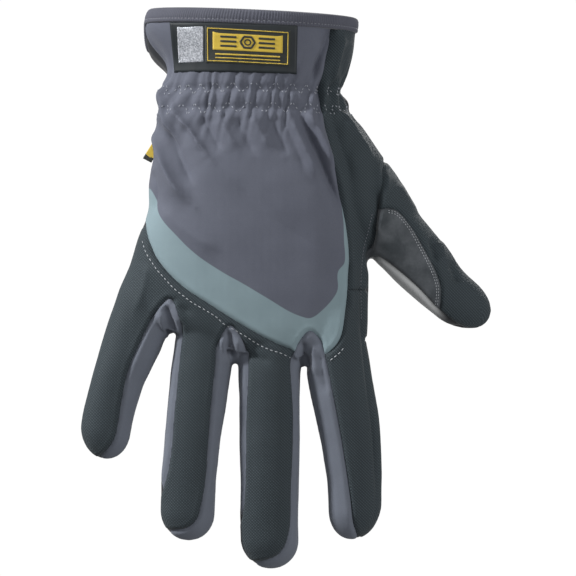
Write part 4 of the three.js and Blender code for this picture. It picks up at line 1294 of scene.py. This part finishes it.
def side_tag():
    """A folded woven ribbon that stands out of the side seam."""
    corners = photo_place([(163, 127), (143, 158.5), (151.5, 163), (163.5, 143)])
    a, b, c, d = corners
    rows, columns = 22, 12
    points = []
    for sign in (-1, 1):
        for v in np.arange(rows) / (rows - 1):
            swell = TAG_SWELL * math.sqrt(max(0.0, 1 - (2 * abs(v - 0.5)) ** 6)) + 0.12
            for u in np.arange(columns) / (columns - 1):
                place = (a * (1 - v) + b * v) * (1 - u) + (d * (1 - v) + c * v) * u
                points.append((place[0], sign * swell, place[1]))
    obj = add_mesh("side_tag_ribbon", np.array(points), sheet_faces(rows, columns))
    put(obj, "side_tag", "badge", [YELLOW, BADGE_GROUND])
    for polygon in obj.data.polygons:
        place = np.array([polygon.center.x, polygon.center.z]) / MM
        part = (place - a) @ (b - a) / ((b - a) @ (b - a))
        if any(low < part < high for low, high in TAG_BARS):
            polygon.material_index = 1


cuff_binding()
binding_stitches()
knuckle_stitches()
patch_stitches()
edge_stitches()
zigzag_stitches()
wrist_label()
side_tag()


# The studio: how bright the room is, where the lamps look, and the name, place, width and watts of each
ROOM_LIGHT = 0.30
AIM = (0.01, 0.0, -0.12)
LAMPS = [
    ("key", (-0.95, -0.36, 0.48), 0.12, 15.5),
    ("front", (0.1, -1.3, 0.6), 0.4, 2.4),
    ("fill", (0.90, -0.65, -0.1), 0.4, 3.6),
    ("palm", (0.5, 1.2, 0.6), 0.5, 7.0),
]


def surroundings():
    """A white field far behind the glove, as in the photograph, and soft grey all round."""
    world = bpy.data.worlds.new("studio")
    world.use_nodes = True
    tree = world.node_tree
    way = node(tree, "ShaderNodeSeparateXYZ", {0: node(tree, "ShaderNodeTexCoord").outputs["Generated"]})
    behind = node(tree, "ShaderNodeMapRange", {"Value": way.outputs["Y"], "From Min": 0.80, "From Max": 0.93,
                                               "To Min": ROOM_LIGHT, "To Max": 1.02}, clamp=True)
    tree.nodes["Background"].inputs[0].default_value = (1, 1, 1, 1)
    tree.links.new(behind.outputs[0], tree.nodes["Background"].inputs[1])
    bpy.context.scene.world = world


def lamp(name, place, width, power):
    light = bpy.data.lights.new(name, "AREA")
    light.shape = "RECTANGLE"
    light.size = light.size_y = width
    light.energy = power
    obj = bpy.data.objects.new(name, light)
    obj.location = place
    obj.rotation_euler = (Vector(AIM) - Vector(place)).to_track_quat("-Z", "Y").to_euler()
    bpy.context.scene.collection.objects.link(obj)


def camera():
    """Looks at the back of the glove, so that the photograph's width fills the picture."""
    data = bpy.data.cameras.new("camera")
    distance = 1.5
    plane = 5.0  # how far past the origin the picture's plane lies, in millimetres
    half = PHOTO_SIZE / 2
    width = PHOTO_SIZE * PHOTO_SCALE * MM
    data.sensor_width = 36.0
    data.lens = data.sensor_width * (distance + plane * MM) / width
    obj = bpy.data.objects.new("camera", data)
    x, z = photo_place([(half, half)])[0] * MM
    obj.location = (x, -distance, z)
    obj.rotation_euler = (math.radians(90), 0, 0)
    bpy.context.scene.collection.objects.link(obj)
    bpy.context.scene.camera = obj


surroundings()
for row in LAMPS:
    lamp(*row)
camera()
bpy.context.scene.view_settings.view_transform = "Standard"
